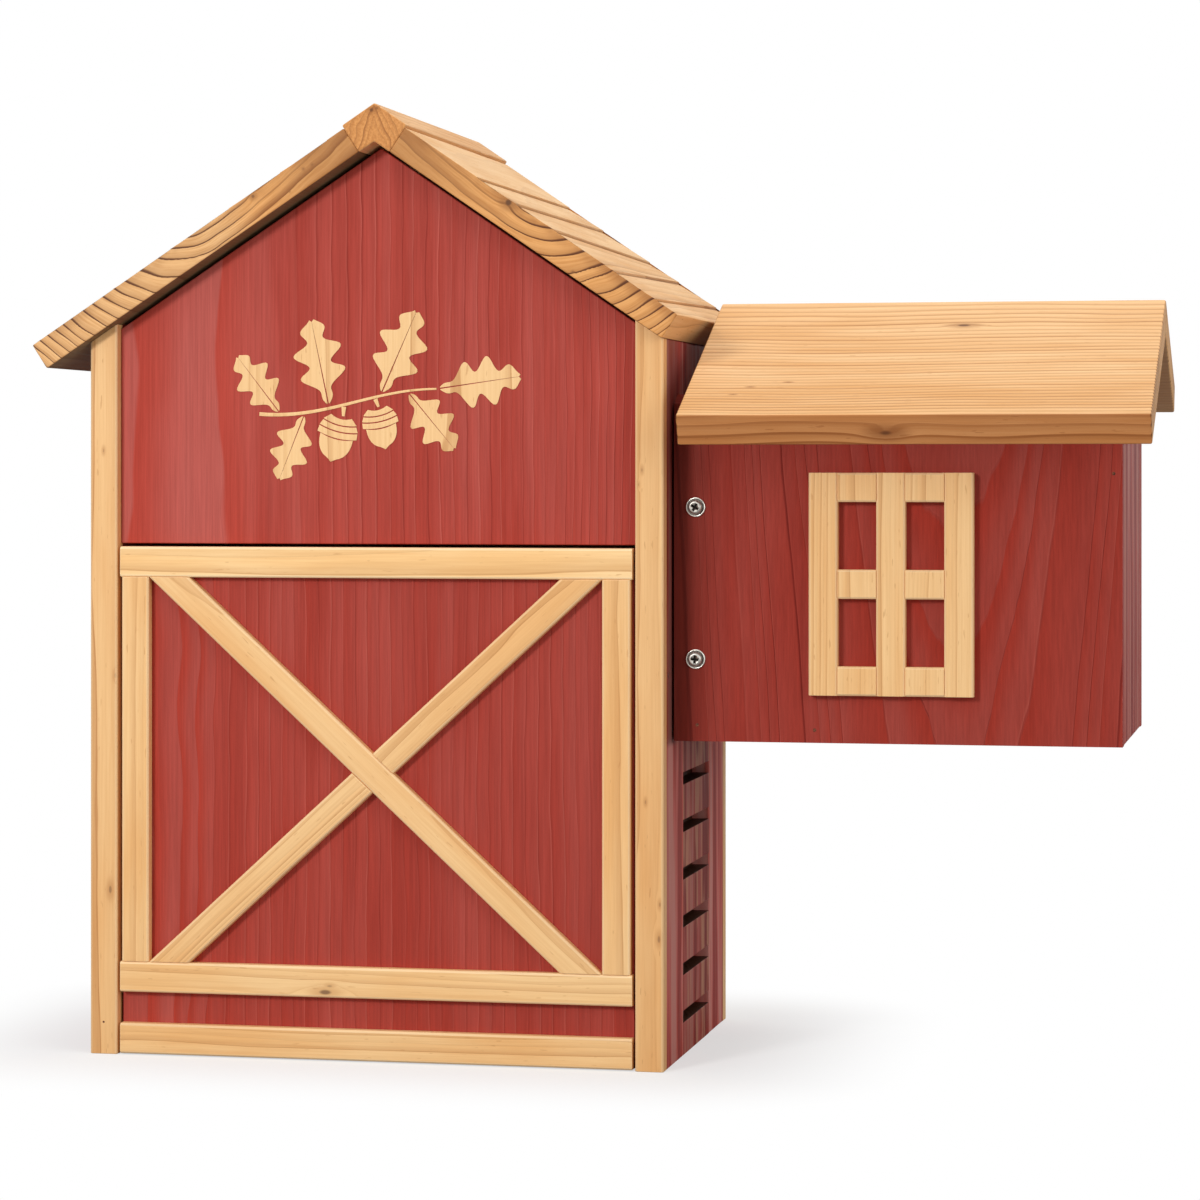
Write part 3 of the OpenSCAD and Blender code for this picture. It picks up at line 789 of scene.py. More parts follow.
def longest_edge(node):
    """The direction of a solid's longest edge, to the right or upwards."""
    solid = clean_solid(node)
    longest = max(solid.edges, key=lambda edge: edge.calc_length())
    direction = (longest.verts[1].co - longest.verts[0].co).normalized()
    solid.free()
    return direction if direction.dot(RIGHT + UP * 0.1) > 0 else -direction


# Each stained board: the way that it looks, how far the heart of its log lies to one side of its middle
# and behind its face, in millimetres, its tone, and how the heart leans. Their grain is upright
WALL_BOARDS = {
    "left_wall": (LEFT, (60, 80), 1.0, 0.05),
    # the right wall's two boards get a lighter tone, painted light on a side that lies in the porch's shade
    "right_wall_front_board": (RIGHT, (-30, 60), 1.26, 0.03),
    "right_wall_rear_board": (RIGHT, (40, 70), 1.42, 0.03),
    "doorway_lintel": (RIGHT, (10, 90), 1.0, 0.05),
    "gable_panel": (FORWARD, (0, 140), 1.02, 0.0),
    "door_panel": (FORWARD, (0, 110), 0.95, 0.0),
    "porch_front_wall": (FORWARD, (-34, 112), 0.76, -0.05),
    "porch_back_wall": (BACKWARD, (60, 90), 0.9, 0.05),
    "porch_end_wall": (RIGHT, (30, 45), 0.92, 0.02),
}

# Boards that show broad bands on their left, as stained_wood tells. Their rings are places from left to
# right, in shares of SPREAD, and the number of rings up to there
# their fade paints shade that darkens the boards' right sides
BANDED_BOARDS = {
    "gable_panel": {"dust": 0.85, "fade": 0.03, "pool": 0.5, "borders": (
        (0, 0.55), (0.025, 1), (0.2, 2), (0.35, 3), (0.385, 4), (0.53, 9), (0.7, 16), (0.86, 24), (1, 33))},
    "door_panel": {"dust": 0.45, "fade": 0.13, "pool": 0.3, "borders": (
        (0, 0.4), (0.06, 1), (0.12, 2), (0.25, 6), (1, 38))},
}

# Trims whose wood is lighter or deeper than the rest
TRIM_TONES = {
    "left_corner_post": 0.96,
    "right_corner_post": 0.94,
    "door_top_rail": 1.12,
    "door_kick_board": 1.02,
    "door_bottom_rail": 1.05,
    "door_left_stile": 1.01,
}

# Knots in trims: place to the right of the house's middle, height above the ground and size, in millimetres
TRIM_KNOTS = {
    "door_bottom_rail": ((-27, 38.5, 1.6), (-24.5, 42, 0.7)),
    "left_corner_post": ((-150, 214, 0.7), (-153, 93, 1.0), (-157, 341, 0.5)),
    "right_corner_post": ((155, 148, 0.5), (163, 92, 0.6), (162.5, 73, 0.9), (153, 330, 0.5),
                          (151, 322, 0.4)),
}

# How far apart along their logs the boards were cut, and where the first of each kind was, in millimetres
LOG_STEP = 730
LOG_START = {"cap": 3300, "back": 5000, "rails": 6000, "ladder": 9100, "braces": 14000, "window": 20000}

# How far behind the ladder board's face its grooves start, and how near a sawn end its points are
GROOVE_START = 0.3 * MM
END_REACH = 0.2 * MM

UPRIGHT_TRIMS = ("left_corner_post", "right_corner_post", "door_left_stile", "door_right_stile")
LEVEL_TRIMS = ("door_top_rail", "door_bottom_rail", "door_kick_board")
BRACES = ("door_long_brace", "door_upper_brace", "door_lower_brace")
WINDOW_BARS = ("window_left_stile", "window_middle_stile", "window_right_stile", "window_left_top_rail",
               "window_left_middle_rail", "window_left_bottom_rail", "window_right_top_rail",
               "window_right_middle_rail", "window_right_bottom_rail")


def add_trim(node, along, heart, start):
    """A post, stile or rail of the front, with its own knots if it has any."""
    wood = material_for("planed pine", pine_wood)
    if node in TRIM_KNOTS:
        low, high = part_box(node)
        middle = (low + high) / 2
        spots = [(Vector((x * MM, low.y, z * MM)) - middle, size) for x, z, size in TRIM_KNOTS[node]]
        knots = [(in_log(spot, along, FORWARD, heart, start), size) for spot, size in spots]
        wood = material_for("knotty pine of " + node, pine_wood, knots=knots, lines=(0.12, 0.85))
    dressed_board(node, wood, settings().edges.trim, along, FORWARD, heart, start, TRIM_TONES.get(node, 1.0))


class HOUSE_OT_stained_walls(Operator):
    """Make the red-stained boards of the house, the door and the porch"""

    bl_idname = "squirrel_house.stained_walls"
    bl_label = "Stained walls"

    def execute(self, context):
        radius = settings().edges.stained
        for number, (node, (face, heart, tone, lean)) in enumerate(WALL_BOARDS.items()):
            if node in BANDED_BOARDS:
                wood = material_for("banded stain of " + node, stained_wood, **BANDED_BOARDS[node])
            elif face == RIGHT:
                wood = material_for("bleached stain", stained_wood, bleached=True)
            else:
                wood = material_for("red stain", stained_wood)
            dressed_board(node, wood, radius, UP, face, heart, LOG_STEP * number, tone, lean)
        return {"FINISHED"}


class HOUSE_OT_ladder(Operator):
    """Make the grooved board that the squirrel climbs, with its stain rubbed thin"""

    bl_idname = "squirrel_house.ladder"
    bl_label = "Ladder board"

    def execute(self, context):
        worn = material_for("rubbed stain", stained_wood, bleached=True, rubbed=True)
        piece = dressed_board("ladder_board", worn, settings().edges.ladder, UP, RIGHT, (25, 55),
                              LOG_START["ladder"], 0.92)
        groove_edge = max(vert.co.x for vert in piece.data.vertices) - GROOVE_START
        write_marks(piece.data, "cut", piece.data.vertices, lambda vert: vert.co.x < groove_edge)
        return {"FINISHED"}


class HOUSE_OT_pine_trims(Operator):
    """Make the posts, the back board, the window bars and the door's rails, stiles and crossed braces"""

    bl_idname = "squirrel_house.pine_trims"
    bl_label = "Posts and trims"

    def execute(self, context):
        radius = settings().edges.trim
        plain = material_for("planed pine", pine_wood)
        dressed_board("back_board", plain, radius, UP, BACKWARD, (30, 90), LOG_START["back"])
        for number, node in enumerate(UPRIGHT_TRIMS):
            add_trim(node, UP, (14 + 9 * number % 40, 22 + 13 * number % 50), LOG_STEP * number)
        fine = material_for("fine pine", pine_wood, ring=0.6, lines=(0.12, 0.8), mottle=0.5)
        for number, node in enumerate(WINDOW_BARS):
            heart = (40 + 9 * number % 25, 12 + 5 * number % 20)
            dressed_board(node, fine, 0.5 * radius, UP, FORWARD, heart,
                          LOG_START["window"] + LOG_STEP * number)
        for number, node in enumerate(LEVEL_TRIMS):
            add_trim(node, RIGHT, (12 + 17 * number % 35, 20 + 11 * number % 45),
                     LOG_START["rails"] + LOG_STEP * number)
        streaky = material_for("streaky pine", pine_wood, ring=0.6, lines=(0.3, 1.0))
        for number, node in enumerate(BRACES):
            dressed_board(node, streaky, radius, longest_edge(node), FORWARD,
                          (9 + 6 * number, 26 - 4 * number), LOG_START["braces"] + LOG_STEP * number)
        return {"FINISHED"}


def edge_steps(length, step, edge):
    """Places from 0 to length: close together in the rounded edges, and even between them."""
    count = max(1, round((length - 2 * edge) / step))
    middle = [edge + (length - 2 * edge) * i / count for i in range(count + 1)]
    bend = [edge * share for share in (0.0, 0.2, 0.55)]
    return bend + middle + [length - place for place in reversed(bend)]


def eased(place, sizes, radius):
    """A point of a box, drawn in where the box's edges and corners are rounded."""
    core = Vector(min(max(value, radius), size - radius) for value, size in zip(place, sizes))
    off = Vector(place) - core
    return core + off.normalized() * radius if off.length > radius else Vector(place)


def lattice_shell(steps, place):
    """The skin of a box that is cut into cells: its points, from place(), and its quads. steps are the
    cells' borders in three directions."""
    last = [len(borders) - 1 for borders in steps]
    numbers, points, quads = {}, [], []

    def point_at(key):
        if key not in numbers:
            numbers[key] = len(points)
            points.append(place(*(borders[i] for borders, i in zip(steps, key))))
        return numbers[key]

    for axis in range(3):
        first, second = (axis + 1) % 3, (axis + 2) % 3
        for side in (0, last[axis]):
            for i in range(last[first]):
                for j in range(last[second]):
                    quad = []
                    for di, dj in ((0, 0), (1, 0), (1, 1), (0, 1)):
                        key = [0, 0, 0]
                        key[axis], key[first], key[second] = side, i + di, j + dj
                        quad.append(point_at(tuple(key)))
                    quads.append(quad if side else quad[::-1])
    return points, quads


def end_corners(node, along):
    """The corners of the end face of a plank where its length starts, and the plank's length."""
    solid = clean_solid(node)
    places = [vert.co.dot(along) for vert in solid.verts]
    lowest = min(places)
    corners = [vert.co.copy() for vert, place in zip(solid.verts, places) if place < lowest + 0.1 * MM]
    solid.free()
    return corners, max(places) - lowest


# How far apart along one log the planks were cut, in millimetres for each whole seed
PLANK_STEP = 900

# How far a plank's rings stray from circles over long and over short stretches, and the length behind the
# front in which they come to stray in full where they are laid
WAVE = 3.4 * MM
RIPPLE = 0.9 * MM
SETTLE = 60 * MM

# How wide the rings are above the first laid one
UPPER_RING = 13 * MM

# The worn dip below a ring: how far down the slope it reaches, how soon it levels out, and how soon it
# fades behind the front
DIP_REACH = 9 * MM
DIP_LEVEL = 3 * MM
DIP_FADE = 22 * MM

# How far down the slope the painted shadow at the foot of a lap reaches, and where the mesh has two
# borders beside a lap or ring
LAP_FOOT = 0.3 * MM
BESIDE_MARK = (-0.02 * MM, 0.14 * MM)


class Plank:
    """A roof plank, measured from its solid. Its places run along its length, down its slope from its
    ridge side and up through its thickness, and its grain runs along its length. heart is how far down
    the slope and above the underside the middle of the log lies, and how much the rings are stretched
    on its ridge side. look is the settings of roof_wood.
    rings are where growth rings meet the top, down the slope. laps are carved steps, as places down the
    slope at the plank's start and end. knots are places and sizes. All are in millimetres."""

    def __init__(self, node, along, outwards, heart, seed, look, rings=(), laps=(), knots=(),
                 ring=1.0, tone=1.0, eave_shade=1.0):
        self.node, self.along, self.look = node, along, look
        self.heart = (heart[0] * MM, heart[1] * MM, heart[2])
        self.seed, self.tone, self.eave_shade = seed, tone, eave_shade
        self.ring = ring * settings().roof.ring
        self.rings = [place * MM for place in rings]
        self.laps = [(start * MM, end * MM) for start, end in laps]
        self.knots = [(Vector(place) * MM, size * MM) for place, size in knots]
        corners, self.length = end_corners(node, along)
        ridge_side = sorted(corners, key=lambda corner: corner.dot(outwards))[:2]
        eave_side = [corner for corner in corners if corner not in ridge_side]
        top, bottom = sorted(ridge_side, key=lambda corner: -corner.z)
        eave_top, eave_bottom = sorted(eave_side, key=lambda corner: -corner.z)
        self.corner = bottom
        self.down = (eave_bottom - bottom).normalized()
        self.slope = (eave_bottom - bottom).length
        self.thickness = (eave_top - eave_bottom).length
        self.mitre = (eave_top - top).length - self.slope
        self.out = along.cross(self.down)
        if self.out.z < 0:
            self.out = -self.out

    def drift(self, a, s):
        """How far the laps have moved down the slope at a place along the plank."""
        stops = [(0, 0)] + [(start, end - start) for start, end in self.laps] + [(self.slope, 0)]
        for (low, first), (high, second) in zip(stops, stops[1:]):
            if s <= high:
                share = (s - low) / (high - low)
                return (first + (second - first) * share) * a / self.length
        return 0.0

    def growth(self, a, s, w):
        """Growth rings from the heart of the log to a point."""
        heart_down, heart_up, stretch = self.heart
        side = s - heart_down
        if side < 0:
            side *= stretch
        radius = math.hypot(side, heart_up - w)
        settle = min(1.0, 0.12 + a / SETTLE) if self.rings else 1.0
        radius += noise.noise(Vector((a * 6, s * 12, self.seed))) * WAVE * settle
        radius += noise.noise(Vector((a * 20, s * 75, w * 75 + self.seed))) * RIPPLE
        for place, size in self.knots:
            off = Vector(((a - place.x) * 0.4, s - place.y, w - place.z)).length / size
            radius += 1.3 * size * math.exp(-(off / 2.4) ** 2)
        if not self.rings:
            return radius / self.ring
        top = heart_up - self.thickness
        reach = heart_down + math.sqrt(max(0.0, radius * radius - top * top))
        after = bisect_right(self.rings, reach)
        if after == 0:
            return (reach - self.rings[0]) / UPPER_RING
        if after == len(self.rings):
            return after - 1 + (reach - self.rings[-1]) / self.ring
        low, high = self.rings[after - 1], self.rings[after]
        return after - 1 + (reach - low) / (high - low)

    def dip(self, a, s):
        """How far the top is worn or carved away, and how dark the painted shadow at the foot of a lap is."""
        finish = settings().roof
        worn = 0.0
        fade = math.exp(-a / DIP_FADE)
        for ring in self.rings:
            if ring < s < ring + DIP_REACH:
                worn = max(worn, finish.step * fade * math.exp(-(s - ring) / DIP_LEVEL))
        borders = [0.0] + [start for start, end in self.laps] + [self.slope]
        number = bisect_right(borders, s) - 1
        carved = shade = 0.0
        if 0 < number < len(borders) - 1:
            share = (s - borders[number]) / (borders[number + 1] - borders[number])
            carved = finish.lap * (1 - share) ** 1.3
            if s - borders[number] < LAP_FOOT:
                shade = 1.0
        return max(worn, carved), shade

    def place(self, a, s, w):
        """A point of the finished plank: where it is, then its growth, end, lap and log place."""
        finish = settings().roof
        growth = self.growth(a, s, w)
        end = 1.0 if min(a, self.length - a) < 0.3 * finish.round_edge else 0.0
        spot = eased((a, s, w), (self.length, self.slope, self.thickness), finish.round_edge)
        shade = 0.0
        if w > self.thickness * 0.999:
            dip, shade = self.dip(a, s)
            spot.z -= dip
        spot.y += self.drift(a, s)
        lean = self.mitre * (1 - spot.y / self.slope) * (spot.z / self.thickness)
        where = self.corner + self.along * spot.x + self.down * (spot.y - lean) + self.out * spot.z
        log_place = Vector((a / MM + PLANK_STEP * self.seed, s / MM, w / MM))
        return where, growth, end, shade, log_place

    def down_steps(self):
        """The mesh's borders down the slope, with a close pair at every lap and ring."""
        finish = settings().roof
        steps = edge_steps(self.slope, finish.across_step, finish.round_edge)
        marks = self.rings + [start for start, end in self.laps]
        gap = 0.35 * finish.across_step
        steps = [step for step in steps if all(abs(step - mark) > gap for mark in marks)]
        pairs = [mark + shift for mark in set(marks) for shift in BESIDE_MARK]
        return sorted(steps + pairs)

    def build(self):
        """Makes the plank's piece."""
        finish = settings().roof
        steps = (edge_steps(self.length, finish.along_step, finish.round_edge), self.down_steps(),
                 edge_steps(self.thickness, finish.through_step, finish.round_edge))
        points, quads = lattice_shell(steps, self.place)
        shell = bmesh.new()
        verts = [shell.verts.new(point[0]) for point in points]
        for quad in quads:
            shell.faces.new([verts[number] for number in quad])
        name = self.node + "_plank"
        mesh = closed_mesh(name, shell)
        for column, layer_name in enumerate(("growth", "end", "lap", "grain"), 1):
            write_layer(mesh, layer_name, [point[column] for point in points])
        edge = (self.slope - 0.3 * finish.round_edge) / MM
        # the eave face's darker tone is painted shade on a face that looks down and forward
        write_layer(mesh, "tone", [self.eave_shade if point[4].y > edge else self.tone for point in points])
        knots = [(place / MM + Vector((PLANK_STEP * self.seed, 0, 0)), size / MM)
                 for place, size in self.knots]
        wood = material_for("wood of " + self.node, roof_wood, knots=knots, **self.look)
        return add_piece(name, mesh, wood, BODY_OF[self.node], SLOT_OF[self.node], (self.node,))


# Where growth rings meet the planks' top edges at the front, in millimetres down the slope
LEFT_RINGS = (98.8, 110.3, 120.4, 129, 142.5, 153, 160.7, 168.4, 176, 183, 191.4, 197, 202, 207.5, 213)
RIGHT_RINGS = (102, 113, 124.5, 137, 143, 153.7, 162, 170.7, 177, 184)

# Where the carved laps start at the front and end at the back, in millimetres down the slope
LEFT_LAPS = ((11.7, 14), (44, 40), (79.5, 86), (120.4, 117), (160.7, 166))
RIGHT_LAPS = ((50, 49), (76, 75), (102, 110), (143, 132), (170.7, 160))

# Knots in the planks: place along, down the slope and up through the plank, and size, in millimetres
LEFT_KNOTS = (((0, 64, 13.5), 1.1), ((0, 31.5, 10), 0.5), ((0, 26, 9), 0.45), ((0, 45, 4), 0.4),
              ((150, 120, 16), 4))
RIGHT_KNOTS = (((0, 72.5, 14.2), 2.1), ((0, 124, 2.5), 0.5))
PORCH_FRONT_KNOTS = (((143, 35, 17.5), 1.7), ((113, 154, 7), 2.0), ((35, 118, 17.5), 0.5),
                     ((55, 112, 17.5), 0.5), ((27, 128, 17.5), 0.45))
PORCH_BACK_KNOTS = (((70, 90, 16), 3),)

# How the wood of the main roof's and the porch roof's planks looks, as roof_wood tells
# the main roof's under of 0.15 is painted shade on the undersides of its eaves
RIGHT_WOOD = {"faint": 0.15, "strong": 0.6, "weathered": 0.6, "width": 0.15, "under": 0.15, "soft": 0.0,
              "warmth": (1.0, 1.0)}
LEFT_WOOD = {**RIGHT_WOOD, "weathered": 0.4, "warmth": (1.0, 0.1)}
PORCH_WOOD = {"faint": 0.55, "strong": 1.0, "weathered": 0.3, "width": 0.42, "under": 1.0, "soft": 0.35,
              "warmth": (0.0, 0.0)}

# Knots in the ridge cap's front: place across, depth below its ridge and size, in millimetres
CAP_KNOTS = ((1.5, 4.0, 1.3), (-1.5, 3.2, 0.9))

# How far the heart of the ridge cap's log lies below its middle, in millimetres
CAP_HEART = 34


class HOUSE_OT_main_roof(Operator):
    """Make the two planks and the raised cap of the main roof"""

    bl_idname = "squirrel_house.main_roof"
    bl_label = "Main roof"

    def execute(self, context):
        Plank("roof_right_board", BACKWARD, RIGHT, (80, 52, 0.3), 3.0, RIGHT_WOOD, RIGHT_RINGS, RIGHT_LAPS,
              RIGHT_KNOTS).build()
        Plank("roof_left_board", BACKWARD, LEFT, (95, 48, 0.3), 11.0, LEFT_WOOD, LEFT_RINGS, LEFT_LAPS,
              LEFT_KNOTS).build()
        low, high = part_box("ridge_cap")
        front, top = (low.y - high.y) / 2 / MM, (high.z - low.z) / 2 / MM
        knots = [((LOG_START["cap"] + front, across, CAP_HEART + top - depth), size)
                 for across, depth, size in CAP_KNOTS]
        wood = material_for("ridge cap wood", cap_wood, knots=knots)
        mesh = dressed_board("ridge_cap", wood, settings().edges.cap, BACKWARD, UP, (0, CAP_HEART),
                             LOG_START["cap"], 0.93).data
        write_marks(mesh, "end", mesh.vertices,
                    lambda vert: min(vert.co.y - low.y, high.y - vert.co.y) < END_REACH)
        return {"FINISHED"}


class HOUSE_OT_porch_roof(Operator):
    """Make the two planks of the porch roof"""

    bl_idname = "squirrel_house.porch_roof"
    bl_label = "Porch roof"

    def execute(self, context):
        # the planks' eave faces are darkened as painted shade
        Plank("porch_roof_front_board", RIGHT, FORWARD, (-46, -110, 1.0), 21.0, PORCH_WOOD,
              knots=PORCH_FRONT_KNOTS, ring=0.6, tone=0.97, eave_shade=0.68).build()
        Plank("porch_roof_back_board", RIGHT, BACKWARD, (-30, -90, 1.0), 29.0, PORCH_WOOD,
              knots=PORCH_BACK_KNOTS, ring=0.6, tone=0.97, eave_shade=0.85).build()
        return {"FINISHED"}


def fill_repeat(graph, source):
    """Sets a part down at each point, turned and sized by the point's values."""
    turn, size = [graph.make("GeometryNodeInputNamedAttribute", {"Name": name}, "Attribute",
                             data_type="FLOAT_VECTOR") for name in ("turn", "size")]
    part = graph.make("GeometryNodeObjectInfo", {"Object": source["Part"]}, "Geometry")
    placed = graph.make("GeometryNodeInstanceOnPoints", {"Points": source["Points"], "Instance": part,
                                                         "Rotation": turn, "Scale": size})
    real = graph.make("GeometryNodeRealizeInstances", {"Geometry": placed})
    return {"Parts": graph.make("GeometryNodeSetMaterial", {"Geometry": real,
                                                            "Material": source["Material"]})}


def repeated(name, part, spots, material):
    """One plain mesh of a part repeated at spots, each a place, a turn and a size."""
    points = bpy.data.meshes.new(name + "_places")
    points.from_pydata([place for place, turn, size in spots], [], [])
    write_layer(points, "turn", [turn for place, turn, size in spots])
    write_layer(points, "size", [(size, size, size) for place, turn, size in spots])
    helper = new_object(name + "_part", part)
    maker = new_object(name + "_maker", points)
    modifier = maker.modifiers.new("Repeat", "NODES")
    modifier.node_group = node_group(
        "Repeat a part", "GeometryNodeTree", {"Points": "Geometry", "Part": "Object", "Material": "Material"},
        {"Parts": "Geometry"}, fill_repeat)
    values = {"Part": helper, "Material": material}
    for socket in modifier.node_group.interface.items_tree:
        if socket.name in values:
            modifier[socket.identifier] = values[socket.name]
    mesh = bpy.data.meshes.new_from_object(maker.evaluated_get(bpy.context.evaluated_depsgraph_get()))
    mesh.name = name
    for layer_name in ("turn", "size"):
        if layer_name in mesh.attributes:
            mesh.attributes.remove(mesh.attributes[layer_name])
    for item in (maker, helper):
        bpy.data.objects.remove(item)
    for data in (points, part):
        bpy.data.meshes.remove(data)
    return mesh


def turned_ring(shape, rings, count, closed=False):
    """Turns a profile of radius and height round the Z axis, as quads. A closed profile joins up."""
    angles = [2 * math.pi * i / count for i in range(count)]
    rows = [[shape.verts.new((radius * math.cos(a), radius * math.sin(a), height)) for a in angles]
            for radius, height in rings]
    for low, high in zip(rows, rows[1:] + rows[:1] if closed else rows[1:]):
        join_rows(shape, low, high)
    return rows


def join_rows(shape, low, high):
    """Quads between two closed rows of points."""
    for i in range(len(low)):
        j = (i + 1) % len(low)
        shape.faces.new((low[i], low[j], high[j], high[i]))


def fill_between(shape, *loops):
    """Triangles inside a closed row of points, with any other rows as holes."""
    edges = [shape.edges.get((loop[i], loop[(i + 1) % len(loop)]))
             for loop in loops for i in range(len(loop))]
    bmesh.ops.triangle_fill(shape, use_beauty=True, edges=edges)


def cross_outline(half_length, half_width):
    """The twelve corners of a cross, counterclockwise."""
    corner = [(half_length, -half_width), (half_length, half_width), (half_width, half_width)]
    turns = [(math.cos(a), math.sin(a)) for a in (0, math.pi / 2, math.pi, 3 * math.pi / 2)]
    return [(x * c - y * n, x * n + y * c) for c, n in turns for x, y in corner]


def islands(node):
    """The boxes of the separate solids of a node."""
    solid = whole_solid(node)
    left, boxes = set(solid.verts), []
    while left:
        to_visit, places = [left.pop()], []
        while to_visit:
            vert = to_visit.pop()
            places.append(vert.co.copy())
            for edge in vert.link_edges:
                other = edge.other_vert(vert)
                if other in left:
                    left.remove(other)
                    to_visit.append(other)
        boxes.append(box_of(places))
    solid.free()
    return boxes


# Faces round a screw's head or a washer
ROUND = 48


def screw_mesh(head_radius, head_height, shank_radius, shank_length):
    """A pan-head screw with a cross recess: its head's seat at the origin, its head up the Z axis."""
    shape = bmesh.new()
    flat = 0.62 * head_radius
    profile = [(shank_radius * 0.2, -shank_length), (shank_radius, 3 * shank_radius - shank_length),
               (shank_radius, -0.3 * MM), (shank_radius, 0.0), (head_radius * 0.97, 0.0),
               (head_radius, 0.12 * head_height)]
    for step in range(1, 9):
        bend = math.pi / 2 * step / 8
        profile.append((flat + (head_radius - flat) * math.cos(bend),
                        head_height * (0.3 + 0.7 * math.sin(bend))))
    rows = turned_ring(shape, profile, ROUND)
    shape.faces.new(rows[0][::-1])
    loops = []
    for depth, share in ((0.0, 1.0), (0.3 * head_height, 1.0), (0.85 * head_height, 0.7)):
        outline = cross_outline(0.55 * head_radius * share, 0.13 * head_radius * share)
        loops.append([shape.verts.new((x, y, head_height - depth)) for x, y in outline])
    for outer, inner in zip(loops, loops[1:]):
        join_rows(shape, outer, inner)
    fill_between(shape, rows[-1], loops[0])
    fill_between(shape, loops[-1])
    # points under the head's edge and in the cross recess get painted shade
    top = head_height - 0.1 * MM
    reach = 0.6 * head_radius
    return closed_mesh("screw_part", shape, lambda spot: spot.z < 0.2 * head_height or (
        spot.z < top and math.hypot(spot.x, spot.y) < reach))


def washer_mesh(hole_radius, radius, height):
    """A cup washer, lower inside than at its round rim, on the XY plane and up the Z axis."""
    shape = bmesh.new()
    rim = height / 2
    floor = 0.45 * height
    profile = [(hole_radius, 0.0), (hole_radius, 0.8 * floor), (hole_radius + 0.2 * height, floor),
               (radius - 2.3 * rim, floor)]
    for step in range(9):
        bend = 0.9 * math.pi - 1.4 * math.pi * step / 8
        profile.append((radius - rim + rim * math.cos(bend), rim + rim * math.sin(bend)))
    turned_ring(shape, profile, ROUND, closed=True)
    # points of the floor inside the rim get painted shade
    return closed_mesh("washer_part", shape, lambda spot: math.hypot(spot.x, spot.y) < radius - 2.2 * rim)


def brad_mesh():
    """The sunk head of a wire nail in the ring of wood that it raised, up the Z axis."""
    shape = bmesh.new()
    profile = [(1.2 * MM, -0.15 * MM), (0.9 * MM, 0.04 * MM), (0.62 * MM, 0.07 * MM), (0.55 * MM, 0.0),
               (0.05 * MM, 0.02 * MM)]
    rows = turned_ring(shape, profile, 20)
    shape.faces.new(rows[-1])
    shape.faces.new(rows[0][::-1])
    return closed_mesh("brad_part", shape)


def add_fasteners(node, name, part, height, material):
    """The solids of a node replaced by a finer part on each of the porch's long walls. height is how far
    the part stands out of the wall."""
    low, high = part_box("porch_end_wall")
    middle = (low.y + high.y) / 2
    spots = []
    for low, high in islands(node):
        front = low.y < middle
        face = low.y + height if front else high.y - height
        turn = (math.pi / 2, 5 * low.z - 1.0, 0) if front else (-math.pi / 2, 0.8 + 2 * low.z, 0)
        spots.append((((low.x + high.x) / 2, face, (low.z + high.z) / 2), turn, 1.0))
    mesh = repeated(name, part, spots, material)
    add_piece(name, mesh, material, BODY_OF[node], SLOT_OF[node], (node,))


class HOUSE_OT_screws(Operator):
    """Make the four screws that hold the porch, and their washers"""

    bl_idname = "squirrel_house.screws"
    bl_label = "Screws and washers"

    def execute(self, context):
        low, high = islands("porch_screw_washers")[0]
        washer_radius, washer_height = (high.x - low.x) / 2, high.y - low.y
        low, high = islands("porch_screws")[0]
        head_radius, length = (high.x - low.x) / 2, high.y - low.y
        head_height = 0.65 * head_radius
        steel = material_for("bright steel", bright_steel)
        head = material_for("dull steel", bright_steel, tone=0.62, roughness=0.45)
        screw = screw_mesh(head_radius, head_height, 0.5 * head_radius, length - head_height)
        add_fasteners("porch_screws", "porch_screws_fine", screw, head_height, head)
        washer = washer_mesh(0.575 * head_radius, washer_radius, washer_height)
        add_fasteners("porch_screw_washers", "porch_washers_fine", washer, washer_height, steel)
        return {"FINISHED"}


# Nails: the board that they are in, their size, and their places to the right and up, in millimetres
BRADS = (("porch_front_wall", 1.0, ((408, 328), (245, 187), (179.5, 189))),
         ("left_corner_post", 0.65, ((-157, 18),)))


class HOUSE_OT_brads(Operator):
    """Make the small sunk nails that show on the porch and on the left post"""

    bl_idname = "squirrel_house.brads"
    bl_label = "Nails"

    def execute(self, context):
        iron = material_for("dark iron", dark_iron)
        spots = [((x * MM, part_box(node)[0].y, z * MM), (math.pi / 2, 0, 0), size)
                 for node, size, places in BRADS for x, z in places]
        mesh = repeated("brads", brad_mesh(), spots, iron)
        add_piece("brads", mesh, iron, "house", "steel")
        return {"FINISHED"}


def leaf_half(side, slit, length):
    """The outline of one half of an oak leaf that grows along X, with round lobes."""
    steps = 44
    rib = [(length * share, side * (0.5 * slit * (1.15 - share))) for share in (0.03, 0.35, 0.7, 0.95)]
    edge = []
    for step in range(steps + 1):
        share = 0.97 - 0.94 * step / steps
        lobes = 0.71 + 0.29 * math.cos(2 * math.pi * (3.6 * share - 0.15) + 0.35 * side)
        width = 0.3 * length * math.sin(math.pi * share ** 0.86) ** 0.75 * lobes * min(1, 2.6 * share) ** 0.5
        edge.append((length * (share + 0.035 * lobes * math.sin(math.pi * share)),
                     side * max(width, 0.7 * slit)))
    return rib + edge


def inlay_mesh(name, outlines, depth):
    """Thin solids with flat faces that look along -Y, from closed outlines across and up."""
    shape = bmesh.new()
    for outline in outlines:
        face = shape.faces.new([shape.verts.new((x, 0.0, z)) for x, z in outline])
        for item in bmesh.ops.extrude_face_region(shape, geom=[face])["geom"]:
            if isinstance(item, bmesh.types.BMVert):
                item.co.y -= depth
    bmesh.ops.recalc_face_normals(shape, faces=shape.faces)
    bmesh.ops.triangulate(shape, faces=[face for face in shape.faces if len(face.verts) > 4])
    return finish_mesh(name, shape)


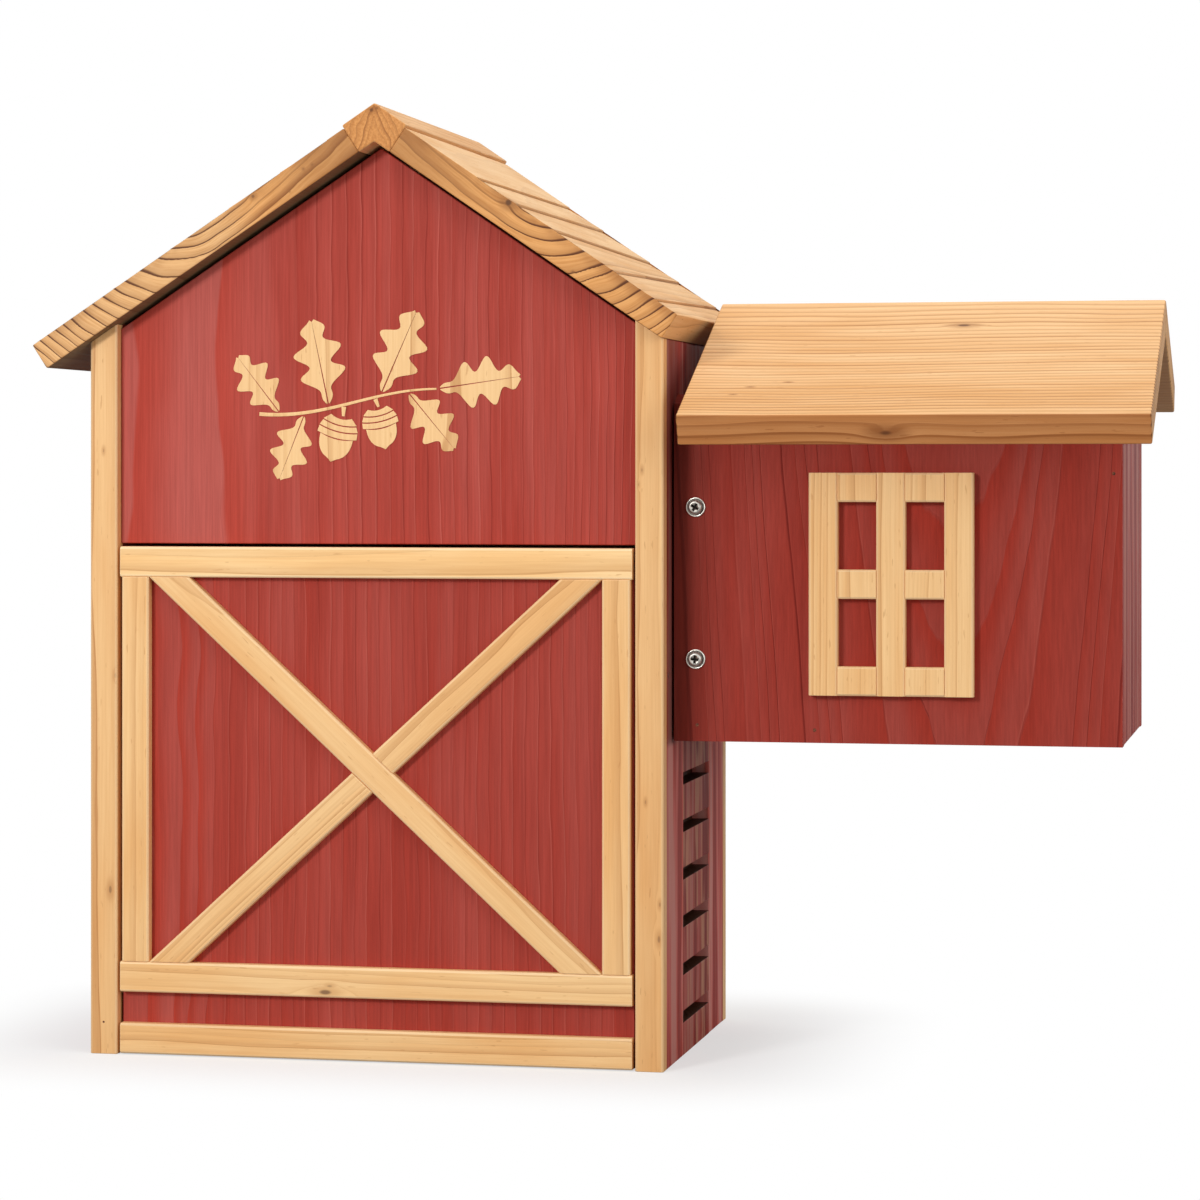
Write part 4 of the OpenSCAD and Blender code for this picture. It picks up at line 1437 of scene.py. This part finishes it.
def ribbon(path, width):
    """The outline of a ribbon along a path of points, thinner at its end."""
    left, right = [], []
    for number, (x, z) in enumerate(path):
        ahead = path[min(number + 1, len(path) - 1)]
        behind = path[max(number - 1, 0)]
        run = Vector((ahead[0] - behind[0], ahead[1] - behind[1])).normalized()
        half = 0.5 * width * (1.25 - 0.6 * number / (len(path) - 1))
        left.append((x - run.y * half, z + run.x * half))
        right.append((x + run.y * half, z - run.x * half))
    return left + right[::-1]


def sagging_arc(half, height, sag):
    """Eleven points from left to right that hang lower in the middle."""
    return [(half * (i / 5 - 1), height - sag * (1 - (i / 5 - 1) ** 2)) for i in range(11)]


def acorn_outlines(size, slit):
    """An acorn that hangs along -Z from the origin: a stalk, three rows of scales and the nut."""
    stalk, cup, sag, half_nut = 0.17 * size, 0.34 * size, 0.05 * size, 0.30 * size
    outlines = [ribbon([(0, 0), (0.03 * size, -0.16 * size)], 0.07 * size)]
    borders = [0.0, 0.33, 0.66, 1.0]
    for low, high in zip(borders, borders[1:]):
        top = -stalk - low * cup - (slit / 2 if low else 0)
        bottom = -stalk - high * cup + (slit / 2 if high < 1 else 0)
        band = []
        for share, height in ((low, top), (high, bottom)):
            half = 0.36 * size * math.sin(math.acos(1 - min(1.0, share + 0.16) * 0.95))
            band.append(sagging_arc(half, height, sag))
        outlines.append(band[0] + band[1][::-1])
    start = -stalk - cup - slit
    nut = sagging_arc(half_nut, start, sag)
    for step in range(1, 20):
        bend = math.pi * step / 20
        point = sag * max(0.0, 1 - abs(bend - math.pi / 2) / 0.25)
        nut.append((half_nut * math.cos(bend), start - 0.40 * size * math.sin(bend) ** 0.8 - point))
    outlines.append(nut)
    return outlines


# Leaves of the sprig: place along the stem, turn in degrees and size
SPRIG_LEAVES = ((-0.62, 128, 0.8), (-0.42, -112, 0.78), (-0.22, 102, 0.98), (0.20, 66, 1.0),
                (0.42, -50, 0.82), (0.66, 8, 0.95))

# Acorns of the sprig: place along the stem, turn in degrees and size
SPRIG_ACORNS = ((-0.10, -14, 0.62), (0.16, 12, 0.56))

# How the log of an upright piece that keeps its plain solid is turned
UPRIGHT_LOG = (0, math.radians(90), 0)


class HOUSE_OT_sprig(Operator):
    """Make the sprig of oak leaves and acorns that is let into the gable"""

    bl_idname = "squirrel_house.sprig"
    bl_label = "Oak sprig"

    def execute(self, context):
        sprig = settings().sprig
        wood = material_for("bare inlay", pine_wood, solid=(UPRIGHT_LOG, (0, 18, 46)), mottle=0.25)
        half = 1.35 * sprig.leaf
        middle = Vector((sprig.middle.x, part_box("gable_panel")[0].y, sprig.middle.z))

        def on_stem(share):
            return Vector((half * share, 0, 0.1 * half * math.sin(2.4 * share)))

        spots = []
        for share, turn, size in SPRIG_LEAVES:
            direction = math.radians(turn)
            clear = 1.6 * sprig.slit if abs(share) < 0.65 else 0.9 * sprig.slit
            away = Vector((math.cos(direction), 0, math.sin(direction))) * clear
            spots.append((middle + on_stem(share) + away, (0, -direction, 0), size))
        halves = [leaf_half(side, sprig.slit, sprig.leaf) for side in (1, -1)]
        leaves = repeated("sprig_leaves", inlay_mesh("leaf_part", halves, sprig.depth), spots, wood)
        add_piece("sprig_leaves", leaves, wood, "house", "pine")
        stem = [on_stem(-0.8 + 1.46 * i / 30) for i in range(31)]
        outlines = [ribbon([(point.x, point.z) for point in stem], 2.4 * sprig.slit)]
        for share, turn, size in SPRIG_ACORNS:
            lean = Matrix.Rotation(math.radians(turn), 2)
            start = on_stem(share)
            for outline in acorn_outlines(size * sprig.leaf, sprig.slit):
                moved = [lean @ Vector(point) for point in outline]
                outlines.append([(point.x + start.x, point.y + start.z - 1.6 * sprig.slit)
                                 for point in moved])
        mesh = inlay_mesh("sprig_stem", outlines, sprig.depth)
        mesh.transform(Matrix.Translation(middle))
        add_piece("sprig_stem", mesh, wood, "house", "pine")
        return {"FINISHED"}


class HOUSE_OT_inner_pieces(Operator):
    """Give the pieces inside the house and porch their wood and steel"""

    bl_idname = "squirrel_house.inner_pieces"
    bl_label = "Inner pieces"

    def execute(self, context):
        level = material_for("floor pine", pine_wood, solid=((0, 0, 0), (0, 40, 90)))
        upright = material_for("cleat pine", pine_wood, solid=(UPRIGHT_LOG, (0, 30, 60)))
        batten = material_for("batten pine", pine_wood, solid=((0, 0, math.radians(90)), (0, 20, -480)))
        steel = material_for("bright steel", bright_steel)
        finishes = {"nest_floor": level, "porch_floor": level, "porch_front_cleat": upright,
                    "porch_back_cleat": upright, "ridge_batten": batten, "left_pivot_pin": steel,
                    "right_pivot_pin": steel}
        for node, material in finishes.items():
            mesh = frame["nodes"][node].data
            mesh.materials.clear()
            mesh.materials.append(material)
        return {"FINISHED"}


WHITE = (1, 1, 1, 1)

# Each lamp's place and size, in metres. Its power is the setting of the same name
LAMPS = {"key_lamp": ((-0.80, -2.10, 1.05), 0.42), "fill_lamp": ((1.9, -1.3, 0.8), 1.2),
         "top_lamp": ((0.5, 0.1, 2.1), 1.2)}

# How far the floor reaches, and how far from the house its shadow starts and ends to fade, in metres
FLOOR_RADIUS = 9.0
SHADOW_FADE = (0.01, 0.14)


def face_along(item, direction):
    """Turns a camera or lamp to look along a direction."""
    item.rotation_euler = Vector(direction).to_track_quat("-Z", "Y").to_euler()


def add_camera(studio):
    """The camera at the photograph's angle."""
    camera = new_object("studio_camera", bpy.data.cameras.new("studio_camera"))
    camera.location = studio.camera_place
    face_along(camera, (-math.sin(studio.camera_turn), math.cos(studio.camera_turn), 0.0))
    camera.data.lens = studio.lens
    camera.data.sensor_width = 36
    camera.data.shift_y = studio.shift
    return camera


def add_lamp(name, studio):
    """A square soft lamp."""
    place, size = LAMPS[name]
    data = bpy.data.lights.new(name, "AREA")
    data.shape, data.size, data.energy = "SQUARE", size, getattr(studio, name)
    lamp = new_object(name, data)
    lamp.location = place
    face_along(lamp, studio.aim - Vector(place))
    return lamp


def light_passes(lamp, name):
    """Lets a lamp's light through a piece."""
    unshaded = bpy.data.collections.new(lamp.name + "_passes")
    unshaded.objects.link(bpy.data.objects[name])
    unshaded.collection_objects[0].light_linking.link_state = "EXCLUDE"
    lamp.light_linking.blocker_collection = unshaded


def fill_world(graph, studio):
    """Even light from all round, which the camera, mirrors and glass see as white."""
    sky = graph.make("ShaderNodeBackground", {"Color": WHITE, "Strength": studio.sky})
    white = graph.make("ShaderNodeBackground", {"Color": WHITE, "Strength": 1.0})
    rays = graph.wires("ShaderNodeLightPath")
    seen = graph.math("MAXIMUM", rays["Is Camera Ray"],
                      graph.math("MAXIMUM", rays["Is Glossy Ray"], rays["Is Transmission Ray"]))
    shown = graph.make("ShaderNodeMixShader", {0: seen, 1: sky, 2: white})
    graph.add("ShaderNodeOutputWorld", {"Surface": shown})


def fill_floor(graph, studio):
    """A matt floor that the camera sees as white away from the house, with the shadow near it."""
    matt = graph.make("ShaderNodeBsdfDiffuse", {"Color": (*studio.floor, 1)})
    glow = graph.make("ShaderNodeEmission", {"Color": WHITE, "Strength": studio.floor_glow})
    shadowed = graph.make("ShaderNodeAddShader", {0: matt, 1: glow})
    white = graph.make("ShaderNodeEmission", {"Color": WHITE, "Strength": 1.0})
    house_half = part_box("back_board")[1]
    beyond = graph.vector("SUBTRACT", graph.vector("ABSOLUTE", graph.here()),
                          (house_half.x, house_half.y, 0.0))
    gap = graph.vector("MULTIPLY", graph.vector("MAXIMUM", beyond, (0.0, 0.0, 0.0)), (1.0, 1.0, 0.0))
    away = graph.smooth(graph.vector("LENGTH", gap), *SHADOW_FADE)
    seen = graph.make("ShaderNodeMixShader", {0: away, 1: shadowed, 2: white})
    shown = graph.make("ShaderNodeMixShader", {0: graph.wires("ShaderNodeLightPath")["Is Camera Ray"],
                                               1: matt, 2: seen})
    graph.add("ShaderNodeOutputMaterial", {"Surface": shown})


def with_nodes(data, fill, studio):
    """A world or material with its nodes made afresh."""
    data.use_nodes = True
    data.node_tree.nodes.clear()
    fill(Graph(data.node_tree), studio)
    return data


class HOUSE_OT_studio(Operator):
    """Make the pale floor, the white surroundings, the lamps and the camera"""

    bl_idname = "squirrel_house.studio"
    bl_label = "Studio"

    def execute(self, context):
        studio = settings().studio
        scene = context.scene
        scene.camera = add_camera(studio)
        lamps = [add_lamp(name, studio) for name in LAMPS]
        light_passes(lamps[0], "porch_roof_front_board_plank")
        scene.world = with_nodes(bpy.data.worlds.new("studio"), fill_world, studio)
        mesh = bpy.data.meshes.new("studio_floor")
        shape = bmesh.new()
        bmesh.ops.create_circle(shape, cap_ends=True, segments=96, radius=FLOOR_RADIUS)
        shape.to_mesh(mesh)
        shape.free()
        mesh.materials.append(with_nodes(bpy.data.materials.new("studio floor"), fill_floor, studio))
        floor = new_object("studio_floor", mesh)
        scene.view_settings.view_transform = "Standard"
        return {"FINISHED"}


OPERATORS = (HOUSE_OT_stained_walls, HOUSE_OT_ladder, HOUSE_OT_pine_trims, HOUSE_OT_main_roof,
             HOUSE_OT_porch_roof, HOUSE_OT_screws, HOUSE_OT_brads, HOUSE_OT_sprig, HOUSE_OT_inner_pieces,
             HOUSE_OT_studio)


class HOUSE_PT_panel(Panel):
    """Buttons for each group of pieces, and the settings that they share"""

    bl_idname = "HOUSE_PT_panel"
    bl_label = "Squirrel house"
    bl_space_type = "VIEW_3D"
    bl_region_type = "UI"
    bl_category = "Squirrel house"

    def draw(self, context):
        for operator in OPERATORS:
            self.layout.operator(operator.bl_idname)
        house = context.scene.squirrel_house
        for group in (house.stain, house.pine, house.roof, house.edges, house.sprig, house.studio):
            box = self.layout.box()
            for name in group.__annotations__:
                box.prop(group, name)


CLASSES = (StainSettings, PineSettings, RoofSettings, EdgeSettings, SprigSettings, StudioSettings,
           SquirrelHouseSettings, *OPERATORS, HOUSE_PT_panel)


def register():
    for item in CLASSES:
        bpy.utils.register_class(item)
    bpy.types.Scene.squirrel_house = PointerProperty(type=SquirrelHouseSettings)


def unregister():
    del bpy.types.Scene.squirrel_house
    for item in reversed(CLASSES):
        bpy.utils.unregister_class(item)


def main():
    """Makes every piece in order."""
    register()
    bpy.ops.squirrel_house.stained_walls()
    bpy.ops.squirrel_house.ladder()
    bpy.ops.squirrel_house.pine_trims()
    bpy.ops.squirrel_house.main_roof()
    bpy.ops.squirrel_house.porch_roof()
    bpy.ops.squirrel_house.screws()
    bpy.ops.squirrel_house.brads()
    bpy.ops.squirrel_house.sprig()
    bpy.ops.squirrel_house.inner_pieces()
    bpy.ops.squirrel_house.studio()


if __name__ == "__main__":
    main()
